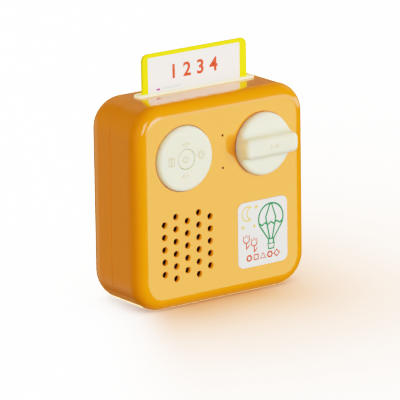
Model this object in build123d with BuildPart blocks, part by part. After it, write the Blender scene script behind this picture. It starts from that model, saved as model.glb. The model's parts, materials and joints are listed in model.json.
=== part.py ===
from build123d import *
from math import cos, radians, sin, sqrt, tan
import os

# Children's audio story player: a rounded box with a card slot, a rocker pad, a bar knob and a speaker.
# Millimetres.  X runs to the right seen from the front, +Y points to the back, +Z is up.
# The origin is in the middle of the base, where the object stands.

os.makedirs("parts", exist_ok=True)

# ---------------------------------------------------------------- housing
body_width = 88.0
body_height = 88.0
body_depth = 38.0
corner_radius = 13.6
front_edge_radius = 5.5
rear_edge_radius = 11.0
wall = 2.2
parting_y = -0.5            # depth at which the two shells meet
seam_chamfer = 0.25         # small V along the parting line
tongue_length = 1.6
fit_gap = 0.15              # moulded parts that plug into each other
seat_gap = 0.3              # moulded parts that lie close to each other

# ---------------------------------------------------------------- speaker grille
grille_inset = 25.7         # from the left side of the housing
grille_drop = 17.3          # below the middle of the housing
grille_hole_radius = 1.45
grille_column_pitch = 5.84
grille_row_pitch = 5.32
grille_columns = 5
grille_short_rows = 5       # outer and middle columns; the two between have one more

# ---------------------------------------------------------------- rocker pad and power button
pad_inset = 24.25           # from the left side of the housing
pad_rise = 20.4             # above the middle of the housing
pad_radius = 13.9
pad_proud = 2.1
pad_edge_radius = 1.9
pad_gap = 0.35              # ring to shell, radially
pad_flange_width = 1.3
pad_flange_thickness = 1.0
pad_wall = 1.6
pad_tilt = 1.5              # degrees each way
nub_circle_radius = 9.6
nub_radius = 1.6
nub_gap = 0.5               # bracket holes round the nubs and the button's stem
button_radius = 4.15
button_gap = 0.3            # power button to ring, radially
button_flange_radius = 5.3
button_flange_thickness = 0.9
button_stem_radius = 1.6
button_edge_radius = 0.4
button_float = 0.4          # free space in front of the button's flange
button_pocket_gap = 0.7
button_travel = 0.3
washer_thickness = 0.8
washer_rib_height = 0.25
washer_rib_width = 1.2
bracket_thickness = 1.0
bracket_radius = 15.6
bracket_post_circle = 17.2
bracket_post_radius = 1.2
bracket_pin_radius = 0.75
bracket_ear_radius = 1.9
bracket_post_angles = (0, 120, 240)
washer_play = 0.05          # free on each side of the washer
washer_ring_wall = 0.6
washer_ring_height = 0.6

# ---------------------------------------------------------------- knob and rotary encoder
knob_inset = 23.45          # from the right side of the housing
knob_rise = 20.45           # above the middle of the housing
knob_radius = 13.5
knob_disc_height = 3.0      # above the front face
knob_bar_height = 8.3       # above the front face
knob_bar_width = 8.4
knob_bar_edge_radius = 2.3
knob_bar_fillet = 2.5
knob_rim_radius = 1.9
knob_wall = 1.5
knob_core_length = 4.6
knob_core_offset = 7.6
knob_hub_wall = 1.4
knob_recess_depth = 0.8
knob_recess_gap = 0.4
knob_travel = 0.5
knob_rib_thickness = 1.0
encoder_width = 12.0
encoder_height = 6.5
encoder_wall = 0.7
bushing_radius = 3.5
bushing_length = 3.3
bushing_hole_gap = 0.3
bushing_chamfer = 0.4
shaft_radius = 3.0
shaft_flat_depth = 1.5      # the D flat that drives the knob
shaft_end_length = 5.2      # how far the shaft stands into the knob
shaft_drive_radius = 2.4
shaft_drive_width = 3.6     # across the two flats inside the rotor
running_gap = 0.04
rotor_radius = 4.9
rotor_thickness = 1.4

# ---------------------------------------------------------------- indicator and microphone
pinhole_x = 0.3
microphone_rise = 27.0      # above the middle of the housing
indicator_rise = 13.0
pinhole_radius = 0.55
boot_radius = 2.3
microphone_radius = 2.0
microphone_height = 1.5
light_pipe_radius = 1.4
led_height = 0.8

# ---------------------------------------------------------------- label
label_inset = 23.45         # from the right side of the housing
label_drop = 18.25          # below the middle of the housing
label_width = 25.7
label_height = 28.4
label_corner_radius = 3.0
label_thickness = 0.6
label_recess_depth = 0.5
label_gap = 0.1

# ---------------------------------------------------------------- card and its slot
card_width = 54.0
card_length = 85.6
card_thickness = 1.5
card_corner_radius = 3.0
card_edge_radius = 0.6
card_visible = 17.7         # above the top of the housing
slot_x = 0.35
slot_y = 0.6
card_side_gap = 0.4
card_face_gap = 0.3
bezel_end_lip = 2.2
bezel_side_lip = 1.45
bezel_proud = 0.95
bezel_edge_radius = 0.45
bezel_flange_margin = 1.2
bezel_flange_thickness = 1.0
guide_wall = 1.2
guide_rail = 1.3
guide_ear_radius = 2.5
guide_window_width = 21.0
guide_window_rows = 3
guide_rib = 3.0
guide_ear_rises = (9.5, 39.5)   # above the lower end of the guide
guide_ear_reach = 3.1       # centre of an ear outside the guide's side

# ---------------------------------------------------------------- boards
board_thickness = 1.2
board_boss_gap = 1.0
control_board_y = -9.6      # front face of the control board
control_board_width = 71.0
control_board_height = 31.0
control_board_rise = 5.0    # lower edge above the middle of the housing
control_post_radius = 2.2
control_post_inset = 2.5    # from the edges of the board
switch_width = 6.0
switch_body_height = 2.5
switch_stem_radius = 1.7
switch_stem_height = 0.9
switch_stem_depth = 1.1     # how deep the stem stands in the switch
main_board_y = 6.6          # front face of the main board
main_board_width = 58.0
main_board_bottom = 5.0
main_board_height = 34.0
main_post_radius = 2.2
main_post_inset = 3.25      # from the edges of the board
reader_board_width = 44.0
reader_board_height = 30.0
reader_board_drop = 3.0     # below the night light's board
thin_board = 0.8
chip_height = 1.0
small_chip_width = 5.0
big_chip_width = 9.0
night_board_drop = 1.35     # below the upper end of the card guide
night_board_height = 6.0
night_led_width = 3.0
night_led_height = 1.4
night_led_depth = 1.2

# ---------------------------------------------------------------- speaker
speaker_radius = 18.4
speaker_ring_height = 1.6   # moulded ring that the gasket lies on
speaker_ring_width = 1.0
speaker_gasket_thickness = 1.0
basket_thickness = 0.8
basket_depth = 6.6          # from the flange to the rear plate
basket_floor_radius = 10.0
basket_window_radius = 1.9
surround_width = 3.0
surround_thickness = 0.4
cone_thickness = 0.5
cone_depth = 3.0
cone_clearance = 0.3
cone_travel = 0.4
roll_height = 0.9
coil_radius = 5.0
coil_wall = 0.5
dust_cap_height = 1.2
coil_length = 3.4
coil_gap = 0.3
magnet_thickness = 2.4
yoke_thickness = 1.0
speaker_ear_circle = 21.2
speaker_tab_angle = 0
speaker_tab_width = 6.0
speaker_tab_reach = 4.0
terminal_margin = 0.5
terminal_thickness = 0.8
speaker_screw_length = 4.6
speaker_ear_radius = 2.2
speaker_ear_angles = (40, 140, 310)
collar_wall = 1.2
collar_height = 5.0

# ---------------------------------------------------------------- battery, port, leads
battery_width = 50.0
battery_height = 30.0
battery_thickness = 6.0
battery_gap = 2.6           # above the main board
battery_edge_radius = 1.5
battery_pad_thickness = 1.4
port_x = 0.0
port_z = 13.5
port_width = 9.0
port_height = 3.2
port_wall = 0.3
port_gap = 0.35
port_setback = 0.6          # the socket ends this far inside the rear face
port_depth = 6.5
port_tongue_width = 6.6
port_tongue_thickness = 0.7
lead_radius = 0.6
cable_radius = 1.1
bend_share = 0.45           # part of its shorter run that a bend takes up
plug_width = 6.0
plug_height = 4.0
plug_depth = 2.4
battery_plug_x = 16.0
speaker_plug_x = -15.0
control_plug_x = 20.0
board_plug_x = 30.0
upper_plug_drop = 8.0       # battery and control plugs below the top of the main board
lower_plug_rise = 8.0       # speaker plug above its lower edge
board_plug_rise = 17.0      # cable plug above the lower edge of the control board
lead_straight = 2.2         # straight run where a lead leaves its plug
cable_side_gap = 4.8        # between the side wall and the middle of the control cable

# ---------------------------------------------------------------- fasteners
housing_screw_inset = 9.2   # from the sides of the housing
housing_screw_rise = 33.8   # above and below the middle
housing_boss_radius = 3.0
housing_tube_wall = 0.9
screw_seat_y = 6.0          # where the heads of the housing screws bear
screw_seat_thickness = 2.0
housing_screw_radius = 1.3
housing_screw_length = 10.0
housing_head_radius = 2.5
housing_head_height = 1.8
small_screw_radius = 0.9
small_screw_length = 5.0
guide_screw_length = 9.0
small_head_radius = 1.8
small_head_height = 1.2
thread_gap = 0.03
cross_slot_width = 0.6
cross_slot_share = 1.1      # slot length over head radius
head_crown_share = 0.4      # chamfer over head height

# ---------------------------------------------------------------- derived places
front_y = -body_depth / 2
rear_y = body_depth / 2
inner_front_y = front_y + wall
inner_rear_y = rear_y - wall
wall_middle_front_y = front_y + wall / 2
middle_z = body_height / 2
grille_x = grille_inset - body_width / 2
pad_x = pad_inset - body_width / 2
knob_x = body_width / 2 - knob_inset
label_x = body_width / 2 - label_inset
pad_z = middle_z + pad_rise
knob_z = middle_z + knob_rise
microphone_z = middle_z + microphone_rise
indicator_z = middle_z + indicator_rise
grille_z = middle_z - grille_drop
label_z = middle_z - label_drop
housing_screw_x = body_width / 2 - housing_screw_inset
housing_screws_xz = [
    (x, middle_z + rise)
    for x in (-housing_screw_x, housing_screw_x)
    for rise in (-housing_screw_rise, housing_screw_rise)
]

pad_opening_radius = pad_radius + pad_gap
pad_flange_radius = pad_opening_radius + pad_flange_width
pad_face_y = front_y - pad_proud
pad_swing = pad_flange_radius * sin(radians(pad_tilt)) * sqrt(2)
pad_flange_y = inner_front_y + pad_swing + fit_gap
pad_back_y = pad_flange_y + pad_flange_thickness
washer_front_y = pad_back_y + washer_play
washer_back_y = washer_front_y + washer_thickness + 2 * washer_rib_height
bracket_y = washer_back_y + washer_play
bracket_back_y = bracket_y + bracket_thickness
control_board_back_y = control_board_y + board_thickness
control_board_bottom = middle_z + control_board_rise
control_board_top = control_board_bottom + control_board_height
control_post_side = control_board_width / 2 - control_post_inset
control_posts = (
    (-control_post_side, control_board_bottom + control_post_inset),
    (control_post_side, control_board_bottom + control_post_inset),
    (pinhole_x, control_board_bottom + control_post_inset),
    (pinhole_x, control_board_top - control_post_inset),
)
board_plug_z = control_board_bottom + board_plug_rise
switch_top_y = control_board_y - switch_body_height
stem_top_y = switch_top_y - switch_stem_height
nub_end_y = stem_top_y - seat_gap
button_flange_y = pad_flange_y - button_flange_thickness
button_pocket_radius = button_flange_radius + button_pocket_gap
washer_inner_radius = button_pocket_radius + seat_gap
washer_outer_radius = nub_circle_radius - nub_radius - seat_gap
ring_hub_radius = washer_outer_radius + fit_gap

knob_floor_y = front_y + knob_recess_depth
knob_back_y = knob_floor_y - knob_travel - fit_gap
knob_disc_y = front_y - knob_disc_height
knob_front_y = front_y - knob_bar_height
encoder_front_y = control_board_y - encoder_height
bushing_end_y = encoder_front_y - bushing_length
knob_hub_y = bushing_end_y - knob_travel - seat_gap
knob_cavity_y = knob_disc_y + knob_wall
knob_hub_radius = shaft_radius + knob_hub_wall
rotor_back_y = control_board_y - encoder_height / 2 + rotor_thickness / 2
shaft_step_y = rotor_back_y - rotor_thickness - knob_travel - fit_gap
shaft_foot_y = control_board_y - encoder_wall - knob_travel - fit_gap

card_bottom = body_height + card_visible - card_length
channel_width = card_width + 2 * card_side_gap
channel_depth = card_thickness + 2 * card_face_gap
channel_front_y = slot_y - channel_depth / 2
channel_back_y = slot_y + channel_depth / 2
opening_length = card_width + channel_depth + card_face_gap
bezel_length = opening_length + 2 * bezel_end_lip
bezel_width = channel_depth + 2 * bezel_side_lip
guide_front_y = channel_front_y - guide_wall
guide_back_y = channel_back_y + guide_wall
guide_half_width = channel_width / 2 + guide_rail
guide_floor = card_bottom - seat_gap
guide_bottom = guide_floor - guide_rail
bezel_flange_top = body_height - wall - fit_gap
bezel_bottom = bezel_flange_top - bezel_flange_thickness
guide_top = bezel_bottom - seat_gap
ear_offset = guide_half_width + guide_ear_reach
guide_window_pitch = (guide_top - guide_floor - guide_rib) / guide_window_rows
guide_ears_xz = [
    (slot_x + side * ear_offset, guide_bottom + rise) for side in (-1, 1) for rise in guide_ear_rises
]
night_board_bottom = guide_top - night_board_drop - night_board_height
reader_board_bottom = night_board_bottom - reader_board_drop - reader_board_height

main_board_back_y = main_board_y + board_thickness
main_board_top = main_board_bottom + main_board_height
main_post_side = main_board_width / 2 - main_post_inset
main_posts = [
    (x, z)
    for x in (-main_post_side, main_post_side)
    for z in (main_board_bottom + main_post_inset, main_board_top - main_post_inset)
]
battery_plug_z = main_board_top - upper_plug_drop
control_plug_z = main_board_top - upper_plug_drop
speaker_plug_z = main_board_bottom + lower_plug_rise
battery_bottom = main_board_top + battery_gap
speaker_flange_y = inner_front_y + speaker_ring_height + speaker_gasket_thickness
basket_floor_y = speaker_flange_y + basket_depth
magnet_y = basket_floor_y + basket_thickness
yoke_y = magnet_y + magnet_thickness
basket_mouth_radius = speaker_radius - surround_width
surround_front_y = speaker_flange_y - surround_thickness
roll_outer_radius = speaker_radius - speaker_ring_width - fit_gap
cone_radius = basket_mouth_radius - 2 * cone_travel
roll_inner_radius = cone_radius + cone_clearance
roll_run = roll_height / 2
cone_front_y = surround_front_y
cone_back_y = cone_front_y + cone_depth
cap_front_y = cone_back_y - dust_cap_height
dust_cap_radius = (coil_radius**2 + dust_cap_height**2) / (2 * dust_cap_height)
coil_end_y = cone_back_y + cone_thickness + coil_length
terminal_y = speaker_flange_y + basket_thickness
terminal_circle = speaker_radius + speaker_tab_reach / 2 - terminal_margin
port_mouth_y = rear_y - port_setback
battery_y = inner_rear_y - battery_pad_thickness - battery_thickness


def at(y):
    """Plane that faces the front at depth y: its x is the object's X, its y is the object's Z."""
    return Plane(origin=(0, y, 0), x_dir=(1, 0, 0), z_dir=(0, -1, 0))


def finish(part, label):
    part.label = label
    export_step(part, f"parts/{label}.step")
    return part


def housing_form(inset):
    """Solid rounded form of the housing, drawn in by inset all round."""
    with BuildPart() as form:
        with BuildSketch(at(front_y + inset)):
            housing_outline(inset)
        extrude(amount=-(body_depth - 2 * inset))
        fillet(form.faces().sort_by(Axis.Y)[0].edges(), front_edge_radius - inset)
        fillet(form.faces().sort_by(Axis.Y)[-1].edges(), rear_edge_radius - inset)
    return form.part


def housing_outline(inset, mode=Mode.ADD):
    """Rounded square of the housing seen from the front, inside an open sketch."""
    with Locations((0, middle_z)):
        RectangleRounded(
            body_width - 2 * inset, body_height - 2 * inset, corner_radius - inset, mode=mode
        )


def round_post(y_from, y_to, places, radius, mode=Mode.ADD):
    """Round posts or holes along Y, inside an open part."""
    with BuildSketch(at(y_from)) as sections:
        with Locations(*places):
            Circle(radius)
    extrude(sections.sketch, amount=-(y_to - y_from), mode=mode)


def polar_place(x, z, radius, angle):
    return x + radius * cos(radians(angle)), z + radius * sin(radians(angle))


def speaker_ear_places():
    return [polar_place(grille_x, grille_z, speaker_ear_circle, angle) for angle in speaker_ear_angles]


def bracket_post_places():
    return [polar_place(pad_x, pad_z, bracket_post_circle, angle) for angle in bracket_post_angles]


def guide_outline():
    """Card guide seen from the front, with an ear for a screw at each end of two cross bars."""
    with Locations((slot_x, (guide_bottom + guide_top) / 2)):
        Rectangle(2 * guide_half_width, guide_top - guide_bottom)
    for rise in guide_ear_rises:
        with Locations((slot_x, guide_bottom + rise)):
            SlotOverall(2 * (ear_offset + guide_ear_radius), 2 * guide_ear_radius)
    with Locations(*guide_ears_xz):
        Circle(small_screw_radius + fit_gap, mode=Mode.SUBTRACT)


def plug(label, x, z, board_y, facing):
    """Wire-to-board plug; facing is +1 when it stands on the front of its board, -1 behind it."""
    with BuildPart() as body:
        with BuildSketch(at(board_y)):
            with Locations((x, z)):
                Rectangle(plug_width, plug_height)
        extrude(amount=facing * plug_depth)
        outer = body.faces().filter_by(Axis.Y).sort_by(Axis.Y, reverse=facing < 0)[0]
        chamfer(outer.edges(), 2 * fit_gap)
    return finish(body.part, label)


def screw_group(label, places, seat_y, facing, radius, length, head_radius, head_height, crossed=False):
    """Screws along Y; facing is +1 when the heads look to the back, -1 to the front."""
    with BuildPart() as screws:
        with BuildSketch(at(seat_y)):
            with Locations(*places):
                Circle(head_radius)
        extrude(amount=-facing * head_height)
        crowns = screws.faces().filter_by(Axis.Y).sort_by(Axis.Y, reverse=facing > 0)[: len(places)]
        chamfer(crowns.edges(), head_height * head_crown_share)
        with BuildSketch(at(seat_y)):
            with Locations(*places):
                Circle(radius)
        extrude(amount=facing * length)
        if crossed:
            with BuildSketch(at(seat_y + facing * head_height)):
                with Locations(*places):
                    Rectangle(head_radius * cross_slot_share, cross_slot_width)
                    Rectangle(cross_slot_width, head_radius * cross_slot_share)
            extrude(amount=facing * head_height / 2, mode=Mode.SUBTRACT)
    return finish(screws.part, label)


def lead(label, points, radius):
    """Wire bundle along a polyline whose corners are rounded as widely as their runs allow."""
    route = [Vector(*point) for point in points]
    bends = []
    for before, here, after in zip(route, route[1:], route[2:]):
        turn = (here - before).get_angle(after - here)
        shorter_run = min((here - before).length, (after - here).length)
        bends.append(bend_share * shorter_run / tan(radians(turn / 2)))
    with BuildPart() as tube:
        with BuildLine() as path:
            FilletPolyline(*route, radius=bends)
        with BuildSketch(path.line ^ 0):
            Circle(radius)
        sweep()
    print(label, "bend radii", [round(bend, 1) for bend in bends])
    return finish(tube.part, label)


# ================================================================ front shell
with BuildPart() as front_shell:
    add(housing_form(0))
    split(bisect_by=at(parting_y), keep=Keep.TOP)
    add(housing_form(wall), mode=Mode.SUBTRACT)
    chamfer(front_shell.faces().sort_by(Axis.Y)[-1].outer_wire().edges(), seam_chamfer)
    with BuildSketch(at(parting_y - wall)):
        housing_outline(wall / 2)
        housing_outline(wall, mode=Mode.SUBTRACT)
    extrude(amount=-(wall + tongue_length))
    # bosses for the housing screws and posts for the control board
    round_post(wall_middle_front_y, screw_seat_y - screw_seat_thickness - seat_gap,
               housing_screws_xz, housing_boss_radius)
    round_post(wall_middle_front_y, control_board_y, control_posts, control_post_radius)
    # speaker: ring under the gasket, collar round the basket, bosses for its screws
    with BuildSketch(at(wall_middle_front_y)):
        with Locations((grille_x, grille_z)):
            Circle(speaker_radius)
            Circle(speaker_radius - speaker_ring_width, mode=Mode.SUBTRACT)
    extrude(amount=-(inner_front_y + speaker_ring_height - wall_middle_front_y))
    with BuildSketch(at(wall_middle_front_y)):
        with Locations((grille_x, grille_z)):
            Circle(speaker_radius + seat_gap + collar_wall)
            Circle(speaker_radius + seat_gap, mode=Mode.SUBTRACT)
        for angle in speaker_ear_angles:
            with Locations(polar_place(grille_x, grille_z, speaker_ear_circle, angle)):
                Rectangle(2 * speaker_ear_circle - 2 * speaker_radius, 2 * (speaker_ear_radius + seat_gap),
                          rotation=angle, mode=Mode.SUBTRACT)
        with Locations(polar_place(grille_x, grille_z, speaker_radius, speaker_tab_angle)):
            Rectangle(2 * speaker_tab_reach, speaker_tab_width + 2 * seat_gap,
                      rotation=speaker_tab_angle, mode=Mode.SUBTRACT)
    extrude(amount=-(inner_front_y + collar_height - wall_middle_front_y))
    round_post(wall_middle_front_y, speaker_flange_y, speaker_ear_places(), speaker_ear_radius)
    # posts that carry the bracket behind the rocker pad
    round_post(wall_middle_front_y, bracket_y, bracket_post_places(), bracket_post_radius)
    round_post(bracket_y, bracket_back_y + fit_gap, bracket_post_places(), bracket_pin_radius)
    # openings in the front wall
    with BuildSketch(at(inner_front_y)):
        for column in range(grille_columns):
            rows = grille_short_rows + column % 2
            column_x = grille_x + (column - (grille_columns - 1) / 2) * grille_column_pitch
            with Locations((column_x, grille_z)):
                with GridLocations(1, grille_row_pitch, 1, rows):
                    Circle(grille_hole_radius)
        with Locations((pad_x, pad_z)):
            Circle(pad_opening_radius)
        with Locations((knob_x, knob_z)):
            Circle(bushing_radius + bushing_hole_gap)
        with Locations((pinhole_x, microphone_z), (pinhole_x, indicator_z)):
            Circle(pinhole_radius)
    extrude(amount=2 * wall, mode=Mode.SUBTRACT)
    with BuildSketch(at(knob_floor_y)):
        with Locations((knob_x, knob_z)):
            Circle(knob_radius + knob_recess_gap)
    extrude(amount=wall, mode=Mode.SUBTRACT)
    with BuildSketch(at(front_y + label_recess_depth)):
        with Locations((label_x, label_z)):
            RectangleRounded(label_width + 2 * label_gap, label_height + 2 * label_gap,
                             label_corner_radius + label_gap)
    extrude(amount=wall, mode=Mode.SUBTRACT)
    # pilot holes
    round_post(screw_seat_y - housing_screw_length - seat_gap, screw_seat_y, housing_screws_xz,
               housing_screw_radius + thread_gap, mode=Mode.SUBTRACT)
    round_post(control_board_back_y - small_screw_length - seat_gap, control_board_back_y, control_posts,
               small_screw_radius + thread_gap, mode=Mode.SUBTRACT)
    round_post(terminal_y - speaker_screw_length - fit_gap, terminal_y, speaker_ear_places(),
               small_screw_radius + thread_gap, mode=Mode.SUBTRACT)
    # slot for the bezel
    with BuildSketch(Plane.XY.offset(body_height - 2 * wall)):
        with Locations((slot_x, slot_y)):
            SlotOverall(bezel_length + 2 * fit_gap, bezel_width + 2 * fit_gap)
    extrude(amount=3 * wall, mode=Mode.SUBTRACT)
finish(front_shell.part, "front_shell")

# ================================================================ rear shell
with BuildPart() as rear_posts:
    # tubes for the housing screws, posts for the main board and the card guide
    round_post(screw_seat_y - screw_seat_thickness, rear_y, housing_screws_xz,
               housing_head_radius + 2 * fit_gap + housing_tube_wall)
    round_post(main_board_back_y, rear_y, main_posts, main_post_radius)
    round_post(guide_back_y, rear_y, guide_ears_xz, main_post_radius)
    add(housing_form(wall / 2), mode=Mode.INTERSECT)

with BuildPart() as rear_shell:
    add(housing_form(0))
    split(bisect_by=at(parting_y), keep=Keep.BOTTOM)
    add(housing_form(wall), mode=Mode.SUBTRACT)
    chamfer(rear_shell.faces().sort_by(Axis.Y)[0].outer_wire().edges(), seam_chamfer)
    with BuildSketch(at(parting_y)):
        housing_outline(wall / 2 - fit_gap)
        housing_outline(wall * 2, mode=Mode.SUBTRACT)
    extrude(amount=-(tongue_length + fit_gap), mode=Mode.SUBTRACT)
    add(rear_posts.part)
    round_post(screw_seat_y, rear_y + wall, housing_screws_xz,
               housing_head_radius + 2 * fit_gap, mode=Mode.SUBTRACT)
    round_post(0, screw_seat_y, housing_screws_xz, housing_screw_radius + fit_gap, mode=Mode.SUBTRACT)
    round_post(0, main_board_y + small_screw_length + seat_gap, main_posts,
               small_screw_radius + thread_gap, mode=Mode.SUBTRACT)
    round_post(0, guide_front_y + guide_screw_length + seat_gap, guide_ears_xz,
               small_screw_radius + thread_gap, mode=Mode.SUBTRACT)
    # charging port
    with BuildSketch(at(main_board_back_y)):
        with Locations((port_x, port_z)):
            SlotOverall(port_width + 2 * port_gap, port_height + 2 * port_gap)
    extrude(amount=-body_depth, mode=Mode.SUBTRACT)
    with BuildSketch(Plane.XY.offset(body_height - 2 * wall)):
        with Locations((slot_x, slot_y)):
            SlotOverall(bezel_length + 2 * fit_gap, bezel_width + 2 * fit_gap)
    extrude(amount=3 * wall, mode=Mode.SUBTRACT)
finish(rear_shell.part, "rear_shell")

screw_group("housing_screws", housing_screws_xz, screw_seat_y, 1,
            housing_screw_radius, housing_screw_length, housing_head_radius, housing_head_height,
            crossed=True)

# ================================================================ label
with BuildPart() as label_plate:
    with BuildSketch(at(front_y + label_recess_depth)):
        with Locations((label_x, label_z)):
            RectangleRounded(label_width, label_height, label_corner_radius)
    extrude(amount=label_thickness)
finish(label_plate.part, "label_plate")

# ================================================================ rocker pad
with BuildPart() as control_ring:
    with BuildSketch(at(pad_back_y)):
        with Locations((pad_x, pad_z)):
            Circle(pad_flange_radius)
    extrude(amount=pad_flange_thickness)
    with BuildSketch(at(pad_flange_y)):
        with Locations((pad_x, pad_z)):
            Circle(pad_radius)
    extrude(amount=pad_flange_y - pad_face_y)
    fillet(control_ring.faces().sort_by(Axis.Y)[0].edges(), pad_edge_radius)
    # cored out from behind, outside the hub that rests on the washer
    with BuildSketch(at(pad_back_y)):
        with Locations((pad_x, pad_z)):
            Circle(pad_radius - pad_wall)
            Circle(ring_hub_radius, mode=Mode.SUBTRACT)
    extrude(amount=pad_back_y - pad_face_y - pad_wall, mode=Mode.SUBTRACT)
    with BuildSketch(at(nub_end_y)):
        with Locations((pad_x, pad_z)):
            with PolarLocations(nub_circle_radius, 4):
                Circle(nub_radius)
    extrude(amount=nub_end_y - pad_face_y - pad_wall / 2)
    # bore for the power button, wider behind for its flange
    with BuildSketch(at(pad_back_y)):
        with Locations((pad_x, pad_z)):
            Circle(button_radius + button_gap)
    extrude(amount=pad_back_y - pad_face_y + wall, mode=Mode.SUBTRACT)
    with BuildSketch(at(nub_end_y)):
        with Locations((pad_x, pad_z)):
            Circle(button_pocket_radius)
    extrude(amount=nub_end_y - button_flange_y + button_float, mode=Mode.SUBTRACT)
finish(control_ring.part, "control_ring")

with BuildPart() as power_button:
    with BuildSketch(at(button_flange_y + button_flange_thickness)):
        with Locations((pad_x, pad_z)):
            Circle(button_flange_radius)
    extrude(amount=button_flange_thickness)
    with BuildSketch(at(button_flange_y)):
        with Locations((pad_x, pad_z)):
            Circle(button_radius)
    extrude(amount=button_flange_y - pad_face_y)
    fillet(power_button.faces().sort_by(Axis.Y)[0].edges(), button_edge_radius)
    with BuildSketch(at(stem_top_y)):
        with Locations((pad_x, pad_z)):
            Circle(button_stem_radius)
    extrude(amount=stem_top_y - button_flange_y - button_flange_thickness)
finish(power_button.part, "power_button")

with BuildPart() as rocker_washer:
    with BuildSketch(at(washer_back_y - washer_rib_height)):
        with Locations((pad_x, pad_z)):
            Circle(washer_outer_radius)
            Circle(washer_inner_radius, mode=Mode.SUBTRACT)
    extrude(amount=washer_thickness)
    # two ribs in front for the up and down tilt, two behind for the left and right tilt
    with BuildSketch(at(washer_front_y + washer_rib_height)):
        with Locations((pad_x, pad_z)):
            with PolarLocations((washer_inner_radius + washer_outer_radius) / 2, 2):
                Rectangle(washer_outer_radius - washer_inner_radius - fit_gap, washer_rib_width)
    extrude(amount=washer_rib_height)
    with BuildSketch(at(washer_back_y)):
        with Locations((pad_x, pad_z)):
            with PolarLocations((washer_inner_radius + washer_outer_radius) / 2, 2, start_angle=90):
                Rectangle(washer_outer_radius - washer_inner_radius - fit_gap, washer_rib_width)
    extrude(amount=washer_rib_height)
finish(rocker_washer.part, "rocker_washer")

with BuildPart() as key_bracket:
    with BuildSketch(at(bracket_back_y)):
        with Locations((pad_x, pad_z)):
            Circle(bracket_radius)
        with Locations(*bracket_post_places()):
            Circle(bracket_ear_radius)
        with Locations(*bracket_post_places()):
            Circle(bracket_pin_radius + thread_gap, mode=Mode.SUBTRACT)
        with Locations((pad_x, pad_z)):
            Circle(button_stem_radius + nub_gap, mode=Mode.SUBTRACT)
            with PolarLocations(nub_circle_radius, 4):
                Circle(nub_radius + nub_gap, mode=Mode.SUBTRACT)
    extrude(amount=bracket_thickness)
    # low ring that keeps the washer centred
    with BuildSketch(at(bracket_y)):
        with Locations((pad_x, pad_z)):
            Circle(washer_inner_radius - fit_gap)
            Circle(washer_inner_radius - fit_gap - washer_ring_wall, mode=Mode.SUBTRACT)
    extrude(amount=washer_ring_height)
finish(key_bracket.part, "key_bracket")

# ================================================================ control board and its switches
with BuildPart() as control_board:
    with BuildSketch(at(control_board_back_y)):
        with Locations((0, (control_board_bottom + control_board_top) / 2)):
            Rectangle(control_board_width, control_board_top - control_board_bottom)
        with Locations(*housing_screws_xz):
            Circle(housing_boss_radius + board_boss_gap, mode=Mode.SUBTRACT)
        with Locations(*control_posts):
            Circle(small_screw_radius + fit_gap, mode=Mode.SUBTRACT)
    extrude(amount=board_thickness)
finish(control_board.part, "control_board")

screw_group("control_board_screws", control_posts, control_board_back_y, 1,
            small_screw_radius, small_screw_length, small_head_radius, small_head_height)

with BuildPart() as rocker_switches:
    with BuildSketch(at(control_board_y)):
        with Locations((pad_x, pad_z)):
            with PolarLocations(nub_circle_radius, 4):
                Rectangle(switch_width, switch_width)
    extrude(amount=switch_body_height)
    with BuildSketch(at(switch_top_y)):
        with Locations((pad_x, pad_z)):
            with PolarLocations(nub_circle_radius, 4):
                Circle(switch_stem_radius)
    extrude(amount=switch_stem_height)
finish(rocker_switches.part, "rocker_switches")

with BuildPart() as power_switch:
    with BuildSketch(at(control_board_y)):
        with Locations((pad_x, pad_z)):
            Rectangle(switch_width, switch_width)
    extrude(amount=switch_body_height)
    with BuildSketch(at(switch_top_y)):
        with Locations((pad_x, pad_z)):
            Circle(switch_stem_radius + running_gap)
    extrude(amount=-(switch_stem_depth + button_travel + fit_gap), mode=Mode.SUBTRACT)
finish(power_switch.part, "power_switch")

with BuildPart() as power_switch_stem:
    with BuildSketch(at(switch_top_y + switch_stem_depth)):
        with Locations((pad_x, pad_z)):
            Circle(switch_stem_radius)
    extrude(amount=switch_stem_depth + switch_stem_height)
finish(power_switch_stem.part, "power_switch_stem")

with BuildPart() as microphone:
    with BuildSketch(at(control_board_y)):
        with Locations((pinhole_x, microphone_z)):
            Circle(microphone_radius)
    extrude(amount=microphone_height)
finish(microphone.part, "microphone")

with BuildPart() as microphone_boot:
    with BuildSketch(at(control_board_y)):
        with Locations((pinhole_x, microphone_z)):
            Circle(boot_radius)
    extrude(amount=control_board_y - inner_front_y - thread_gap)
    with BuildSketch(at(control_board_y)):
        with Locations((pinhole_x, microphone_z)):
            Circle(microphone_radius + thread_gap)
    extrude(amount=microphone_height + fit_gap, mode=Mode.SUBTRACT)
    with BuildSketch(at(control_board_y)):
        with Locations((pinhole_x, microphone_z)):
            Circle(pinhole_radius)
    extrude(amount=body_depth / 2, mode=Mode.SUBTRACT)
finish(microphone_boot.part, "microphone_boot")

with BuildPart() as status_led:
    with BuildSketch(at(control_board_y)):
        with Locations((pinhole_x, indicator_z)):
            Rectangle(2 * led_height, led_height)
    extrude(amount=led_height)
finish(status_led.part, "status_led")

with BuildPart() as light_pipe:
    with BuildSketch(at(control_board_y - led_height - seat_gap)):
        with Locations((pinhole_x, indicator_z)):
            Circle(light_pipe_radius)
    extrude(amount=control_board_y - led_height - seat_gap - inner_front_y - thread_gap)
    with BuildSketch(at(inner_front_y + thread_gap)):
        with Locations((pinhole_x, indicator_z)):
            Circle(pinhole_radius - thread_gap)
    extrude(amount=wall - fit_gap)
finish(light_pipe.part, "light_pipe")

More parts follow.
